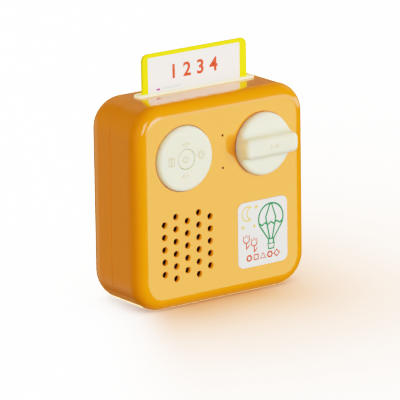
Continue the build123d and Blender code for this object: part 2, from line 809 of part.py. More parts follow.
# ================================================================ knob and encoder
with BuildPart() as knob:
    # the disc and the bar across it, seen end on, run out to the full width ...
    with BuildSketch(Plane.YZ.offset(knob_x - knob_radius)) as knob_section:
        with BuildLine():
            Polyline(
                (knob_back_y, knob_z - knob_radius),
                (knob_disc_y, knob_z - knob_radius),
                (knob_disc_y, knob_z - knob_bar_width / 2),
                (knob_front_y, knob_z - knob_bar_width / 2),
                (knob_front_y, knob_z + knob_bar_width / 2),
                (knob_disc_y, knob_z + knob_bar_width / 2),
                (knob_disc_y, knob_z + knob_radius),
                (knob_back_y, knob_z + knob_radius),
                close=True,
            )
        make_face()
        fillet(knob_section.vertices().sort_by(Axis.X)[:2], knob_bar_edge_radius)
        bar_corners = knob_section.vertices().filter_by(lambda v: abs(v.Y - knob_z) < knob_bar_width)
        fillet(bar_corners.sort_by(Axis.X)[-2:], knob_bar_fillet)
    extrude(amount=2 * knob_radius)
    # ... and are trimmed by the round rim
    with BuildSketch(at(knob_back_y)):
        with Locations((knob_x, knob_z)):
            Circle(knob_radius)
    extrude(amount=knob_back_y - knob_front_y, mode=Mode.INTERSECT)
    side = knob.faces().filter_by(GeomType.CYLINDER).sort_by(SortBy.AREA)[-1]
    rim = side.edges().filter_by(
        lambda e: e.geom_type != GeomType.LINE and e.center().Y < knob_back_y - knob_rim_radius
    )
    fillet(rim, knob_rim_radius)
    # cored out from behind, with the handle cored on both sides of the shaft
    with BuildSketch(at(knob_back_y)):
        with Locations((knob_x, knob_z)):
            Circle(knob_radius - knob_wall)
    extrude(amount=knob_back_y - knob_cavity_y, mode=Mode.SUBTRACT)
    with BuildSketch(at(knob_cavity_y)):
        with Locations((knob_x - knob_core_offset, knob_z), (knob_x + knob_core_offset, knob_z)):
            RectangleRounded(knob_core_length, knob_bar_width - 2 * knob_wall, knob_wall / 2)
    extrude(amount=knob_cavity_y - knob_front_y - knob_wall, mode=Mode.SUBTRACT)
    # hub, four ribs and the D-shaped hole
    with BuildSketch(at(knob_hub_y)):
        with Locations((knob_x, knob_z)):
            Circle(knob_hub_radius)
            Rectangle(2 * knob_radius - knob_wall, knob_rib_thickness, rotation=45)
            Rectangle(2 * knob_radius - knob_wall, knob_rib_thickness, rotation=-45)
    extrude(amount=knob_hub_y - knob_cavity_y + fit_gap)
    with BuildSketch(at(knob_hub_y)):
        with Locations((knob_x, knob_z)):
            Circle(shaft_radius + thread_gap)
        with Locations((knob_x, knob_z - shaft_flat_depth / 2)):
            Rectangle(3 * shaft_radius, 2 * (shaft_radius + thread_gap) - shaft_flat_depth,
                      mode=Mode.INTERSECT)
    extrude(amount=shaft_end_length + fit_gap, mode=Mode.SUBTRACT)
finish(knob.part, "knob")

with BuildPart() as encoder_case:
    with BuildSketch(at(control_board_y)):
        with Locations((knob_x, knob_z)):
            RectangleRounded(encoder_width, encoder_width, encoder_wall)
    extrude(amount=encoder_height)
    with BuildSketch(at(encoder_front_y)):
        with Locations((knob_x, knob_z)):
            Circle(bushing_radius)
    extrude(amount=bushing_length)
    chamfer(encoder_case.faces().sort_by(Axis.Y)[0].edges(), bushing_chamfer)
    with BuildSketch(at(control_board_y - encoder_wall)):
        with Locations((knob_x, knob_z)):
            Circle(rotor_radius + seat_gap)
    extrude(amount=encoder_height - 2 * encoder_wall, mode=Mode.SUBTRACT)
    with BuildSketch(at(control_board_y - encoder_height / 2)):
        with Locations((knob_x, knob_z)):
            Circle(shaft_radius + running_gap)
    extrude(amount=encoder_height + bushing_length, mode=Mode.SUBTRACT)
finish(encoder_case.part, "encoder_case")

with BuildPart() as encoder_rotor:
    with BuildSketch(at(rotor_back_y)):
        with Locations((knob_x, knob_z)):
            Circle(rotor_radius)
    extrude(amount=rotor_thickness)
    with BuildSketch(at(rotor_back_y)):
        with Locations((knob_x, knob_z)):
            Circle(shaft_drive_radius + running_gap)
            Rectangle(shaft_drive_width + 2 * running_gap, 3 * shaft_drive_radius, mode=Mode.INTERSECT)
    extrude(amount=rotor_thickness, mode=Mode.SUBTRACT)
finish(encoder_rotor.part, "encoder_rotor")

with BuildPart() as encoder_shaft:
    # flatted foot in the rotor, round journal in the bushing, D end in the knob
    with BuildSketch(at(shaft_foot_y)):
        with Locations((knob_x, knob_z)):
            Circle(shaft_drive_radius)
            Rectangle(shaft_drive_width, 3 * shaft_drive_radius, mode=Mode.INTERSECT)
    extrude(amount=shaft_foot_y - shaft_step_y)
    with BuildSketch(at(shaft_step_y)):
        with Locations((knob_x, knob_z)):
            Circle(shaft_radius)
    extrude(amount=shaft_step_y - knob_hub_y)
    with BuildSketch(at(knob_hub_y)):
        with Locations((knob_x, knob_z)):
            Circle(shaft_radius)
        with Locations((knob_x, knob_z - shaft_flat_depth / 2)):
            Rectangle(3 * shaft_radius, 2 * shaft_radius - shaft_flat_depth, mode=Mode.INTERSECT)
    extrude(amount=shaft_end_length)
finish(encoder_shaft.part, "encoder_shaft")

# ================================================================ speaker
speaker_axis = Axis((grille_x, 0, grille_z), (0, 1, 0))
# half section of the speaker: x is the radius, y the depth
speaker_plane = Plane(origin=(grille_x, 0, grille_z), x_dir=(1, 0, 0), z_dir=(0, 0, 1))

with BuildPart() as speaker_basket:
    with BuildSketch(speaker_plane):
        with BuildLine():
            Polyline(
                (speaker_radius, speaker_flange_y),
                (speaker_radius, speaker_flange_y + basket_thickness),
                (basket_mouth_radius + basket_thickness, speaker_flange_y + basket_thickness),
                (basket_floor_radius + basket_thickness, magnet_y),
                (coil_radius + coil_gap, magnet_y),
                (coil_radius + coil_gap, basket_floor_y),
                (basket_floor_radius, basket_floor_y),
                (basket_mouth_radius, speaker_flange_y),
                close=True,
            )
        make_face()
    revolve(axis=speaker_axis)
    with BuildSketch(at(speaker_flange_y + basket_thickness)):
        with Locations(*speaker_ear_places()):
            Circle(speaker_ear_radius)
        for angle in speaker_ear_angles:
            with Locations(polar_place(grille_x, grille_z, speaker_radius, angle)):
                Rectangle(2 * (speaker_ear_circle - speaker_radius), 2 * speaker_ear_radius,
                          rotation=angle)
        with Locations(polar_place(grille_x, grille_z, speaker_radius, speaker_tab_angle)):
            Rectangle(2 * (speaker_tab_reach - terminal_margin), speaker_tab_width,
                      rotation=speaker_tab_angle)
        with Locations((grille_x, grille_z)):
            Circle(speaker_radius - speaker_ring_width / 2, mode=Mode.SUBTRACT)
        with Locations(*speaker_ear_places()):
            Circle(small_screw_radius + fit_gap, mode=Mode.SUBTRACT)
    extrude(amount=basket_thickness)
    # six windows in the sloping wall
    with BuildSketch(at(magnet_y - basket_thickness)):
        with Locations((grille_x, grille_z)):
            with PolarLocations((basket_mouth_radius + basket_floor_radius) / 2, 6):
                Circle(basket_window_radius)
    extrude(amount=basket_depth - 2 * basket_thickness, mode=Mode.SUBTRACT)
finish(speaker_basket.part, "speaker_basket")

with BuildPart() as speaker_surround:
    with BuildSketch(speaker_plane):
        with BuildLine():
            Polyline(
                (roll_inner_radius, surround_front_y),
                (roll_inner_radius + roll_run, surround_front_y - roll_height),
                (roll_outer_radius - roll_run, surround_front_y - roll_height),
                (roll_outer_radius, surround_front_y),
                (speaker_radius - fit_gap, surround_front_y),
                (speaker_radius - fit_gap, speaker_flange_y),
                (roll_outer_radius - surround_thickness, speaker_flange_y),
                (roll_outer_radius - surround_thickness - roll_run, speaker_flange_y - roll_height),
                (roll_inner_radius + surround_thickness + roll_run, speaker_flange_y - roll_height),
                (roll_inner_radius + surround_thickness, surround_front_y),
                close=True,
            )
        make_face()
    revolve(axis=speaker_axis)
finish(speaker_surround.part, "speaker_surround")

with BuildPart() as speaker_cone:
    with BuildSketch(speaker_plane):
        with BuildLine():
            Polyline(
                (coil_radius, cone_back_y),
                (cone_radius, cone_front_y),
                (cone_radius, cone_front_y + cone_thickness),
                (coil_radius, cone_back_y + cone_thickness),
                close=True,
            )
        make_face()
    revolve(axis=speaker_axis)
    # domed dust cap over the coil
    with BuildSketch(speaker_plane):
        with BuildLine():
            RadiusArc((0, cap_front_y), (coil_radius, cone_back_y), -dust_cap_radius)
            Line((coil_radius, cone_back_y), (coil_radius, cone_back_y + cone_thickness))
            RadiusArc((coil_radius, cone_back_y + cone_thickness), (0, cap_front_y + cone_thickness),
                      dust_cap_radius)
            Line((0, cap_front_y + cone_thickness), (0, cap_front_y))
        make_face()
    revolve(axis=speaker_axis)
finish(speaker_cone.part, "speaker_cone")

with BuildPart() as speaker_coil:
    with BuildSketch(at(coil_end_y)):
        with Locations((grille_x, grille_z)):
            Circle(coil_radius)
            Circle(coil_radius - coil_wall, mode=Mode.SUBTRACT)
    extrude(amount=coil_end_y - cone_back_y - cone_thickness)
finish(speaker_coil.part, "speaker_coil")

with BuildPart() as speaker_magnet:
    with BuildSketch(at(yoke_y)):
        with Locations((grille_x, grille_z)):
            Circle(basket_floor_radius)
            Circle(coil_radius + coil_gap, mode=Mode.SUBTRACT)
    extrude(amount=magnet_thickness)
finish(speaker_magnet.part, "speaker_magnet")

with BuildPart() as speaker_yoke:
    with BuildSketch(at(yoke_y + yoke_thickness)):
        with Locations((grille_x, grille_z)):
            Circle(basket_floor_radius)
    extrude(amount=yoke_thickness)
    with BuildSketch(at(yoke_y)):
        with Locations((grille_x, grille_z)):
            Circle(coil_radius - coil_wall - coil_gap)
    extrude(amount=yoke_y - basket_floor_y)
finish(speaker_yoke.part, "speaker_yoke")

with BuildPart() as speaker_gasket:
    with BuildSketch(at(surround_front_y)):
        with Locations((grille_x, grille_z)):
            Circle(speaker_radius)
            Circle(speaker_radius - speaker_ring_width, mode=Mode.SUBTRACT)
    extrude(amount=surround_front_y - inner_front_y - speaker_ring_height)
finish(speaker_gasket.part, "speaker_gasket")

screw_group("speaker_screws", speaker_ear_places(), speaker_flange_y + basket_thickness, 1,
            small_screw_radius, speaker_screw_length, small_head_radius, small_head_height)

with BuildPart() as speaker_terminal:
    with BuildSketch(at(terminal_y + terminal_thickness)):
        with Locations(polar_place(grille_x, grille_z, terminal_circle, speaker_tab_angle)):
            Rectangle(speaker_tab_reach - 2 * terminal_margin, speaker_tab_width - 2 * terminal_margin,
                      rotation=speaker_tab_angle)
    extrude(amount=terminal_thickness)
finish(speaker_terminal.part, "speaker_terminal")

# ================================================================ card, bezel and guide
with BuildPart() as story_card:
    with BuildSketch(at(slot_y + card_thickness / 2)):
        with Locations((slot_x, card_bottom + card_length / 2)):
            RectangleRounded(card_width, card_length, card_corner_radius)
    extrude(amount=card_thickness)
    fillet(story_card.faces().filter_by(Axis.Y).edges(), card_edge_radius)
finish(story_card.part, "story_card")

with BuildPart() as slot_bezel:
    with BuildSketch(Plane.XY.offset(bezel_bottom)):
        with Locations((slot_x, slot_y)):
            SlotOverall(bezel_length + 2 * bezel_flange_margin, bezel_width + 2 * bezel_flange_margin)
    extrude(amount=bezel_flange_thickness)
    with BuildSketch(Plane.XY.offset(bezel_flange_top)):
        with Locations((slot_x, slot_y)):
            SlotOverall(bezel_length, bezel_width)
    extrude(amount=body_height + bezel_proud - bezel_flange_top)
    with BuildSketch(Plane.XY.offset(bezel_bottom)):
        with Locations((slot_x, slot_y)):
            SlotOverall(opening_length, channel_depth)
    extrude(amount=body_height, mode=Mode.SUBTRACT)
    fillet(slot_bezel.faces().sort_by(Axis.Z)[-1].edges(), bezel_edge_radius)
finish(slot_bezel.part, "slot_bezel")

with BuildPart() as card_guide_front:
    with BuildSketch(at(channel_back_y)):
        guide_outline()
    extrude(amount=channel_back_y - guide_front_y)
    with BuildSketch(at(channel_back_y)):
        with Locations((slot_x, guide_floor + card_length / 2)):
            Rectangle(channel_width, card_length)
    extrude(amount=channel_depth, mode=Mode.SUBTRACT)
    # windows leave a ladder of ribs across the front plate
    with BuildSketch(at(channel_back_y)):
        with Locations((slot_x, (guide_floor + guide_top) / 2)):
            with GridLocations(guide_window_width + guide_rib, guide_window_pitch, 2, guide_window_rows):
                RectangleRounded(guide_window_width, guide_window_pitch - guide_rib, guide_wall)
    extrude(amount=body_depth / 2, mode=Mode.SUBTRACT)
    mouth = card_guide_front.faces().filter_by(Axis.Z).sort_by(Axis.Z)[-1]
    chamfer(mouth.edges().filter_by(Axis.X).sort_by(Axis.Y)[-1], guide_wall / 2)
finish(card_guide_front.part, "card_guide_front")

with BuildPart() as card_guide_rear:
    with BuildSketch(at(guide_back_y)):
        guide_outline()
    extrude(amount=guide_wall)
    mouth = card_guide_rear.faces().filter_by(Axis.Z).sort_by(Axis.Z)[-1]
    chamfer(mouth.edges().filter_by(Axis.X).sort_by(Axis.Y)[0], guide_wall / 2)
finish(card_guide_rear.part, "card_guide_rear")

screw_group("guide_screws", guide_ears_xz, guide_front_y, -1,
            small_screw_radius, guide_screw_length, small_head_radius, small_head_height)

with BuildPart() as reader_board:
    with BuildSketch(at(guide_back_y + thin_board)):
        with Locations((slot_x, reader_board_bottom + reader_board_height / 2)):
            RectangleRounded(reader_board_width, reader_board_height, guide_wall)
    extrude(amount=thin_board)
finish(reader_board.part, "reader_board")

with BuildPart() as reader_chips:
    with BuildSketch(at(guide_back_y + thin_board + chip_height)):
        with Locations((slot_x, reader_board_bottom + reader_board_height / 3)):
            Rectangle(small_chip_width, small_chip_width)
            with GridLocations(3 * small_chip_width, 1, 2, 1):
                Rectangle(small_chip_width / 2, small_chip_width)
    extrude(amount=chip_height)
finish(reader_chips.part, "reader_chips")

with BuildPart() as night_light_board:
    with BuildSketch(at(guide_back_y + thin_board)):
        with Locations((slot_x, night_board_bottom + night_board_height / 2)):
            Rectangle(reader_board_width, night_board_height)
    extrude(amount=thin_board)
finish(night_light_board.part, "night_light_board")

with BuildPart() as night_light_leds:
    with BuildSketch(at(guide_back_y + thin_board + night_led_depth)):
        with Locations((slot_x, night_board_bottom + night_board_height - night_led_height / 2)):
            with GridLocations(reader_board_width / 3, 1, 3, 1):
                Rectangle(night_led_width, night_led_height)
    extrude(amount=night_led_depth)
finish(night_light_leds.part, "night_light_leds")

# ================================================================ main board, port and battery
with BuildPart() as main_board:
    with BuildSketch(at(main_board_back_y)):
        with Locations((0, (main_board_bottom + main_board_top) / 2)):
            RectangleRounded(main_board_width, main_board_top - main_board_bottom, guide_wall)
        with Locations(*main_posts):
            Circle(small_screw_radius + fit_gap, mode=Mode.SUBTRACT)
    extrude(amount=board_thickness)
finish(main_board.part, "main_board")

screw_group("main_board_screws", main_posts, main_board_y, -1,
            small_screw_radius, small_screw_length, small_head_radius, small_head_height)

with BuildPart() as main_chips:
    with BuildSketch(at(main_board_y)):
        with Locations((0, (main_board_bottom + main_board_top) / 2)):
            Rectangle(big_chip_width, big_chip_width)
            with GridLocations(2.4 * big_chip_width, 1, 2, 1):
                Rectangle(small_chip_width, small_chip_width)
    extrude(amount=chip_height)
finish(main_chips.part, "main_chips")

with BuildPart() as usb_socket:
    with BuildSketch(at(main_board_back_y)):
        with Locations((port_x, port_z)):
            SlotOverall(port_width, port_height)
    extrude(amount=-(port_mouth_y - main_board_back_y))
    with BuildSketch(at(port_mouth_y)):
        with Locations((port_x, port_z)):
            SlotOverall(port_width - 2 * port_wall, port_height - 2 * port_wall)
            RectangleRounded(port_tongue_width, port_tongue_thickness, port_tongue_thickness / 3,
                             mode=Mode.SUBTRACT)
    extrude(amount=port_depth, mode=Mode.SUBTRACT)
finish(usb_socket.part, "usb_socket")

with BuildPart() as battery_cell:
    with BuildSketch(at(battery_y + battery_thickness)):
        with Locations((0, battery_bottom + battery_height / 2)):
            Rectangle(battery_width, battery_height)
    extrude(amount=battery_thickness)
    fillet(battery_cell.edges(), battery_edge_radius)
finish(battery_cell.part, "battery_cell")

with BuildPart() as battery_pad:
    with BuildSketch(at(inner_rear_y)):
        with Locations((0, battery_bottom + battery_height / 2)):
            Rectangle(battery_width - 4 * battery_edge_radius, battery_height - 4 * battery_edge_radius)
    extrude(amount=battery_pad_thickness)
finish(battery_pad.part, "battery_pad")

# ================================================================ plugs and leads
plug("battery_plug", battery_plug_x, battery_plug_z, main_board_back_y, -1)
plug("speaker_plug", speaker_plug_x, speaker_plug_z, main_board_y, 1)
plug("control_plug", control_plug_x, control_plug_z, main_board_y, 1)
plug("control_board_plug", board_plug_x, board_plug_z, control_board_back_y, -1)

battery_lead_y = main_board_back_y + plug_depth / 2
battery_exit_y = battery_y + battery_thickness / 2
battery_exit_x = battery_plug_x - lead_straight
battery_plug_top = battery_plug_z + plug_height / 2
lead(
    "battery_lead",
    [
        (battery_plug_x, battery_lead_y, battery_plug_top + thread_gap),
        (battery_plug_x, battery_lead_y, battery_plug_top + lead_straight),
        (battery_exit_x, battery_exit_y, battery_bottom - lead_straight),
        (battery_exit_x, battery_exit_y, battery_bottom - thread_gap),
    ],
    lead_radius,
)

terminal_x, terminal_z = polar_place(grille_x, grille_z, terminal_circle, speaker_tab_angle)
terminal_back_y = terminal_y + terminal_thickness + thread_gap
main_plug_y = main_board_y - plug_depth / 2
speaker_plug_side = speaker_plug_x + plug_width / 2 + thread_gap
lead(
    "speaker_lead",
    [
        (terminal_x, terminal_back_y, terminal_z),
        (terminal_x, terminal_back_y + 2 * lead_straight, terminal_z),
        (terminal_x, yoke_y, guide_bottom - 2 * lead_radius),
        (terminal_x - 2 * lead_straight, guide_back_y, speaker_plug_z),
        (speaker_plug_side + 2 * lead_straight, main_plug_y, speaker_plug_z),
        (speaker_plug_side, main_plug_y, speaker_plug_z),
    ],
    lead_radius,
)

board_plug_y = control_board_back_y + plug_depth / 2
cable_side_x = body_width / 2 - wall - cable_side_gap
lead(
    "control_cable",
    [
        (board_plug_x + plug_width / 2 + thread_gap, board_plug_y, board_plug_z),
        (cable_side_x, board_plug_y, board_plug_z),
        (cable_side_x, parting_y, board_plug_z - 3 * lead_straight),
        (cable_side_x, main_plug_y, middle_z + 2 * lead_straight),
        (cable_side_x - lead_straight, main_plug_y, main_board_top),
        (main_board_width / 2, main_plug_y, control_plug_z),
        (control_plug_x + plug_width / 2 + thread_gap, main_plug_y, control_plug_z),
    ],
    cable_radius,
)
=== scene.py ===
import json
import math

import bpy
from mathutils import Matrix, Vector


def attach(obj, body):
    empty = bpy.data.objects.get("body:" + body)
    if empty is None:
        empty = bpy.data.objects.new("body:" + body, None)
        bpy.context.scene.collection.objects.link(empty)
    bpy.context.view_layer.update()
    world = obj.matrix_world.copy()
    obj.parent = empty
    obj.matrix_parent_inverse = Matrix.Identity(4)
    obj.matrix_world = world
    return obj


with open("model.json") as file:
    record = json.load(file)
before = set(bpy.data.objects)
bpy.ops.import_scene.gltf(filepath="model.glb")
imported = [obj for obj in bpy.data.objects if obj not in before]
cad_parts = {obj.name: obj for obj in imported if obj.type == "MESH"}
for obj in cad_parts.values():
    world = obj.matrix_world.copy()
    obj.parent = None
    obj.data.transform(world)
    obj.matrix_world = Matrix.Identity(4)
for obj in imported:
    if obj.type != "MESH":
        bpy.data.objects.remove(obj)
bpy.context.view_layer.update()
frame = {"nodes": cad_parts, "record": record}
nodes = frame["nodes"]
scene = bpy.context.scene
mm = 0.001
print("frame loaded:", len(nodes), "nodes")

# azimuth is in degrees round from the front, less than zero to the left, and elevation is up from level
cameraSpec = {
    "azimuth": -35.81,
    "elevation": 15.0,
    "roll": -0.84,
    "distance": 1.887,
    "aim": (0.0, 0.0, 0.044),
    "lens": 404.1,
    "shift": (0.0101, -0.0275),
    "clip": (0.05, 50.0),
}
# light is shown as it is up to "straight", and is then rolled off towards "white"
displaySpec = {
    "straight": 0.35,
    "white": 4.0,
    "steps": 24,
}
lampSpec = {
    "key": {"azimuth": 27, "elevation": 6, "softness": 44, "strength": 3.15, "colour": (1, 1, 1)},
    "fill": {"azimuth": -52, "elevation": 12, "softness": 50, "strength": 1.5, "colour": (1, 0.82, 0.6)},
    "rim": {"azimuth": -155, "elevation": 10, "softness": 40, "strength": 1.1, "colour": (1, 1, 0.9)},
    "side": {"azimuth": 104, "elevation": 27, "softness": 30, "strength": 1.9, "colour": (1, 0.85, 0.5)},
    "back": {"azimuth": 168, "elevation": 28, "softness": 40, "strength": 1.1, "colour": (1, 0.95, 0.9)},
    "floor": {"azimuth": 20, "elevation": 72, "softness": 90, "strength": 6.8, "colour": (1, 1, 1)},
}
skySpec = {
    "ambient": (0.24, 0.21, 0.17),
    "gloss": 0.01,              # what gloss sees between the panels
    "seen": (3.5, 3.5, 3.5),    # what the camera sees past the floor
}
# panels that only gloss sees, each with a soft edge of so many degrees
panels = {
    "face": {"azimuth": (32, 46), "elevation": (-23, -11), "soft": 2.5, "light": (2.3, 2.55, 1.6)},
    "upperEdge": {"azimuth": (20, 90), "elevation": (-7, 4), "soft": 2, "light": (2.2, 2.2, 2.2)},
    "upperCorner": {"azimuth": (19, 32), "elevation": (-9, 10), "soft": 2, "light": (3.0, 3.0, 3.0)},
    "leftCorner": {"azimuth": (-16, -1), "elevation": (1, 26), "soft": 2, "light": (4.0, 4.0, 4.0)},
    "backAbove": {"azimuth": (94, 176), "elevation": (-7, 37), "soft": 12, "light": (0.21, 0.16, 0.12)},
    "backLeft": {"azimuth": (-170, -118), "elevation": (-29, -1), "soft": 10, "light": (0.09, 0.08, 0.055)},
    "rearEdge": {"azimuth": (-179, -160), "elevation": (-21, -8), "soft": 22, "light": (0.40, 0.34, 0.25)},
    "behind": {"azimuth": (136, 152), "elevation": (-23, -7), "soft": 8, "light": (5.8, 3.4, 1.2)},
    "underneath": {"azimuth": (90, 176), "elevation": (-76, -28), "soft": 12, "light": (0.42, 0.20, 0.07)},
}
# painted light: a warm glow is painted into the floor's colour and into the light it gives off, to the
# front and right of the player's footprint, standing in for the light the player throws there
floorSpec = {
    "size": 24.0,
    "colour": (0.90, 0.90, 0.90),
    "roughness": 0.9,
    # the floor gives off light by itself at this strength, with the painted glow in it
    "selfGlow": 1.0,
    "paintedGlow": (0.30, 0.12, 0.03),
    "glowAt": (0.016, 0.019, 1.0),    # half the footprint, from where the glow fades
    "glowMost": 0.95,
    "glowReach": 0.185,
    "glowSide": (0.811, -0.585),      # the way it is thrown
    "glowEdge": -0.0275,
    "glowSoft": 0.0145,
    "glowSpread": 0.15,
}


def lookBack(azimuth, elevation):
    turn = math.radians(azimuth)
    rise = math.radians(elevation)
    return Vector((math.sin(turn) * math.cos(rise), -math.cos(turn) * math.cos(rise), math.sin(rise)))


def makeCamera(spec):
    data = bpy.data.cameras.new("studioCamera")
    data.lens = spec["lens"]
    data.shift_x, data.shift_y = spec["shift"]
    data.clip_start, data.clip_end = spec["clip"]
    turn = math.radians(spec["azimuth"])
    roll = math.radians(spec["roll"])
    back = lookBack(spec["azimuth"], spec["elevation"])
    level = Vector((math.cos(turn), math.sin(turn), 0))
    upright = back.cross(level)
    right = level * math.cos(roll) + upright * math.sin(roll)
    up = upright * math.cos(roll) - level * math.sin(roll)
    place = Matrix.Translation(Vector(spec["aim"]) + back * spec["distance"])
    camera = bpy.data.objects.new("studioCamera", data)
    camera.matrix_world = place @ Matrix((right, up, back)).transposed().to_4x4()
    scene.collection.objects.link(camera)
    scene.camera = camera


def setDisplay(spec):
    view = scene.view_settings
    view.view_transform = "Standard"
    view.use_curve_mapping = True
    mapping = view.curve_mapping
    mapping.clip_max_x = spec["white"]
    shades = mapping.curves[3].points    # the curve that all three colours share
    start = spec["straight"]
    room = 1 - start
    shades[1].location = (spec["white"], 1.0)
    for step in range(spec["steps"]):
        x = start + (spec["white"] - start) * (step / spec["steps"]) ** 2
        shades.new(x, start + room * (1 - math.exp((start - x) / room)))
    for point in shades:
        point.handle_type = "VECTOR"
    mapping.update()


def makeSun(name, spec):
    data = bpy.data.lights.new(name, "SUN")
    data.energy = spec["strength"]
    data.angle = math.radians(spec["softness"])
    data.color = spec["colour"]
    lamp = bpy.data.objects.new(name, data)
    lamp.rotation_mode = "QUATERNION"
    lamp.rotation_quaternion = lookBack(spec["azimuth"], spec["elevation"]).to_track_quat("Z", "Y")
    lamp.visible_glossy = False
    scene.collection.objects.link(lamp)
    return lamp


def lightOnly(lamp, receiver):
    only = bpy.data.collections.new("floorLit")
    only.objects.link(receiver)
    lamp.light_linking.receiver_collection = only


def feed(tree, socket, value):
    if isinstance(value, bpy.types.NodeSocket):
        tree.links.new(value, socket)
    else:
        socket.default_value = value


def mathNode(tree, operation, *values):
    node = tree.nodes.new("ShaderNodeMath")
    node.operation = operation
    for socket, value in zip(node.inputs, values):
        feed(tree, socket, value)
    return node.outputs["Value"]


def vectorNode(tree, operation, *values):
    node = tree.nodes.new("ShaderNodeVectorMath")
    node.operation = operation
    for socket, value in zip(node.inputs, values):
        feed(tree, socket, value)
    return node.outputs["Value" if operation in ("LENGTH", "DOT_PRODUCT") else "Vector"]


def rampNode(tree, value, start, end, low=0.0, high=1.0, kind="SMOOTHSTEP"):
    node = tree.nodes.new("ShaderNodeMapRange")
    node.interpolation_type = kind
    node.inputs["From Min"].default_value = start
    node.inputs["From Max"].default_value = end
    node.inputs["To Min"].default_value = low
    node.inputs["To Max"].default_value = high
    tree.links.new(value, node.inputs["Value"])
    return node.outputs["Result"]


def mixNode(tree, factor, first, second):
    node = tree.nodes.new("ShaderNodeMix")
    node.data_type = "RGBA"
    tree.links.new(factor, node.inputs["Factor"])
    feed(tree, node.inputs["A"], first)
    feed(tree, node.inputs["B"], second)
    return node.outputs["Result"]


def softEdge(tree, value, span, soft):
    half = (span[1] - span[0]) / 2
    away = mathNode(tree, "ABSOLUTE", mathNode(tree, "SUBTRACT", value, (span[0] + span[1]) / 2))
    return rampNode(tree, away, half, half + soft, 1.0, 0.0)


def panelLight(tree, spec):
    place = tree.nodes.new("ShaderNodeTexCoord")
    split = tree.nodes.new("ShaderNodeSeparateXYZ")
    tree.links.new(place.outputs["Object"], split.inputs["Vector"])
    ahead = mathNode(tree, "MULTIPLY", split.outputs["Y"], -1.0)
    azimuth = mathNode(tree, "DEGREES", mathNode(tree, "ARCTAN2", split.outputs["X"], ahead))
    elevation = mathNode(tree, "DEGREES", mathNode(tree, "ARCSINE", split.outputs["Z"]))
    total = [spec["gloss"]] * 3
    for panel in panels.values():
        across = softEdge(tree, azimuth, panel["azimuth"], panel["soft"])
        along = softEdge(tree, elevation, panel["elevation"], panel["soft"])
        light = vectorNode(tree, "MULTIPLY", panel["light"], mathNode(tree, "MULTIPLY", across, along))
        total = vectorNode(tree, "ADD", light, total)
    return total


def skyShade(tree, colour):
    node = tree.nodes.new("ShaderNodeBackground")
    feed(tree, node.inputs["Color"], colour)
    return node.outputs["Background"]


def mixShade(tree, factor, first, second):
    node = tree.nodes.new("ShaderNodeMixShader")
    for socket, value in zip(node.inputs, (factor, first, second)):
        tree.links.new(value, socket)
    return node.outputs["Shader"]


def makeSky(spec):
    world = bpy.data.worlds.new("studioSky")
    world.use_nodes = True
    world.cycles.sampling_method = "NONE"
    scene.world = world
    tree = world.node_tree
    tree.nodes.clear()
    ray = tree.nodes.new("ShaderNodeLightPath")
    out = tree.nodes.new("ShaderNodeOutputWorld")
    gloss = skyShade(tree, panelLight(tree, spec))
    ambient = skyShade(tree, (*spec["ambient"], 1))
    seen = skyShade(tree, (*spec["seen"], 1))
    unseen = mixShade(tree, ray.outputs["Is Glossy Ray"], ambient, gloss)
    tree.links.new(mixShade(tree, ray.outputs["Is Camera Ray"], unseen, seen), out.inputs["Surface"])


def floorPaper(spec):
    paper = bpy.data.materials.new("floorPaper")
    paper.use_nodes = True
    tree = paper.node_tree
    shader = tree.nodes["Principled BSDF"]
    shader.inputs["Roughness"].default_value = spec["roughness"]
    shader.inputs["Specular IOR Level"].default_value = 0.0
    shader.inputs["Emission Strength"].default_value = spec["selfGlow"]
    place = tree.nodes.new("ShaderNodeTexCoord").outputs["Object"]
    beyond = vectorNode(tree, "SUBTRACT", vectorNode(tree, "ABSOLUTE", place), spec["glowAt"])
    away = vectorNode(tree, "LENGTH", vectorNode(tree, "MAXIMUM", beyond, (0, 0, 0)))
    near = mathNode(tree, "EXPONENT", mathNode(tree, "DIVIDE", away, -spec["glowReach"]))
    side = vectorNode(tree, "DOT_PRODUCT", place, (*spec["glowSide"], 0))
    past = mathNode(tree, "SUBTRACT", side, spec["glowEdge"])
    spread = mathNode(tree, "MULTIPLY_ADD", away, spec["glowSpread"], spec["glowSoft"])
    ahead = rampNode(tree, mathNode(tree, "DIVIDE", past, spread), -1.0, 1.0)
    paintedGlowShare = mathNode(tree, "MULTIPLY", mathNode(tree, "MULTIPLY", near, spec["glowMost"]), ahead)
    # painted glow: the floor's colour, and the light it gives off by itself, turn warm near the player's
    # footprint
    paintedGlowTint = mixNode(tree, paintedGlowShare, (*spec["colour"], 1), (*spec["paintedGlow"], 1))
    tree.links.new(paintedGlowTint, shader.inputs["Base Color"])
    tree.links.new(paintedGlowTint, shader.inputs["Emission Color"])
    return paper


def makeFloor(spec):
    half = spec["size"] / 2
    corners = [(-half, -half, 0), (half, -half, 0), (half, half, 0), (-half, half, 0)]
    mesh = bpy.data.meshes.new("floor")
    mesh.from_pydata(corners, [], [(0, 1, 2, 3)])
    mesh.materials.append(floorPaper(spec))
    floor = bpy.data.objects.new("floor", mesh)
    floor.visible_glossy = False
    floor.visible_diffuse = False
    floor.visible_shadow = False
    scene.collection.objects.link(floor)
    return floor


makeCamera(cameraSpec)
setDisplay(displaySpec)
makeSky(skySpec)
paperFloor = makeFloor(floorSpec)
lamps = {name: makeSun(name + "Light", spec) for name, spec in lampSpec.items()}
lightOnly(lamps["floor"], paperFloor)
print("camera, lights and floor made")

# one group gives every finish its cloudy colour, uneven gloss and fine grain
skinSpec = {
    "cloudDetail": 3.0,
    "smearDetail": 5.0,
    "smearTwist": 1.2,
    "grainDetail": 2.0,
    "grainHeight": 0.05,
}


def addSocket(group, name, kind, way, value=None):
    socket = group.interface.new_socket(name=name, in_out=way, socket_type=kind)
    if value is not None:
        socket.default_value = value


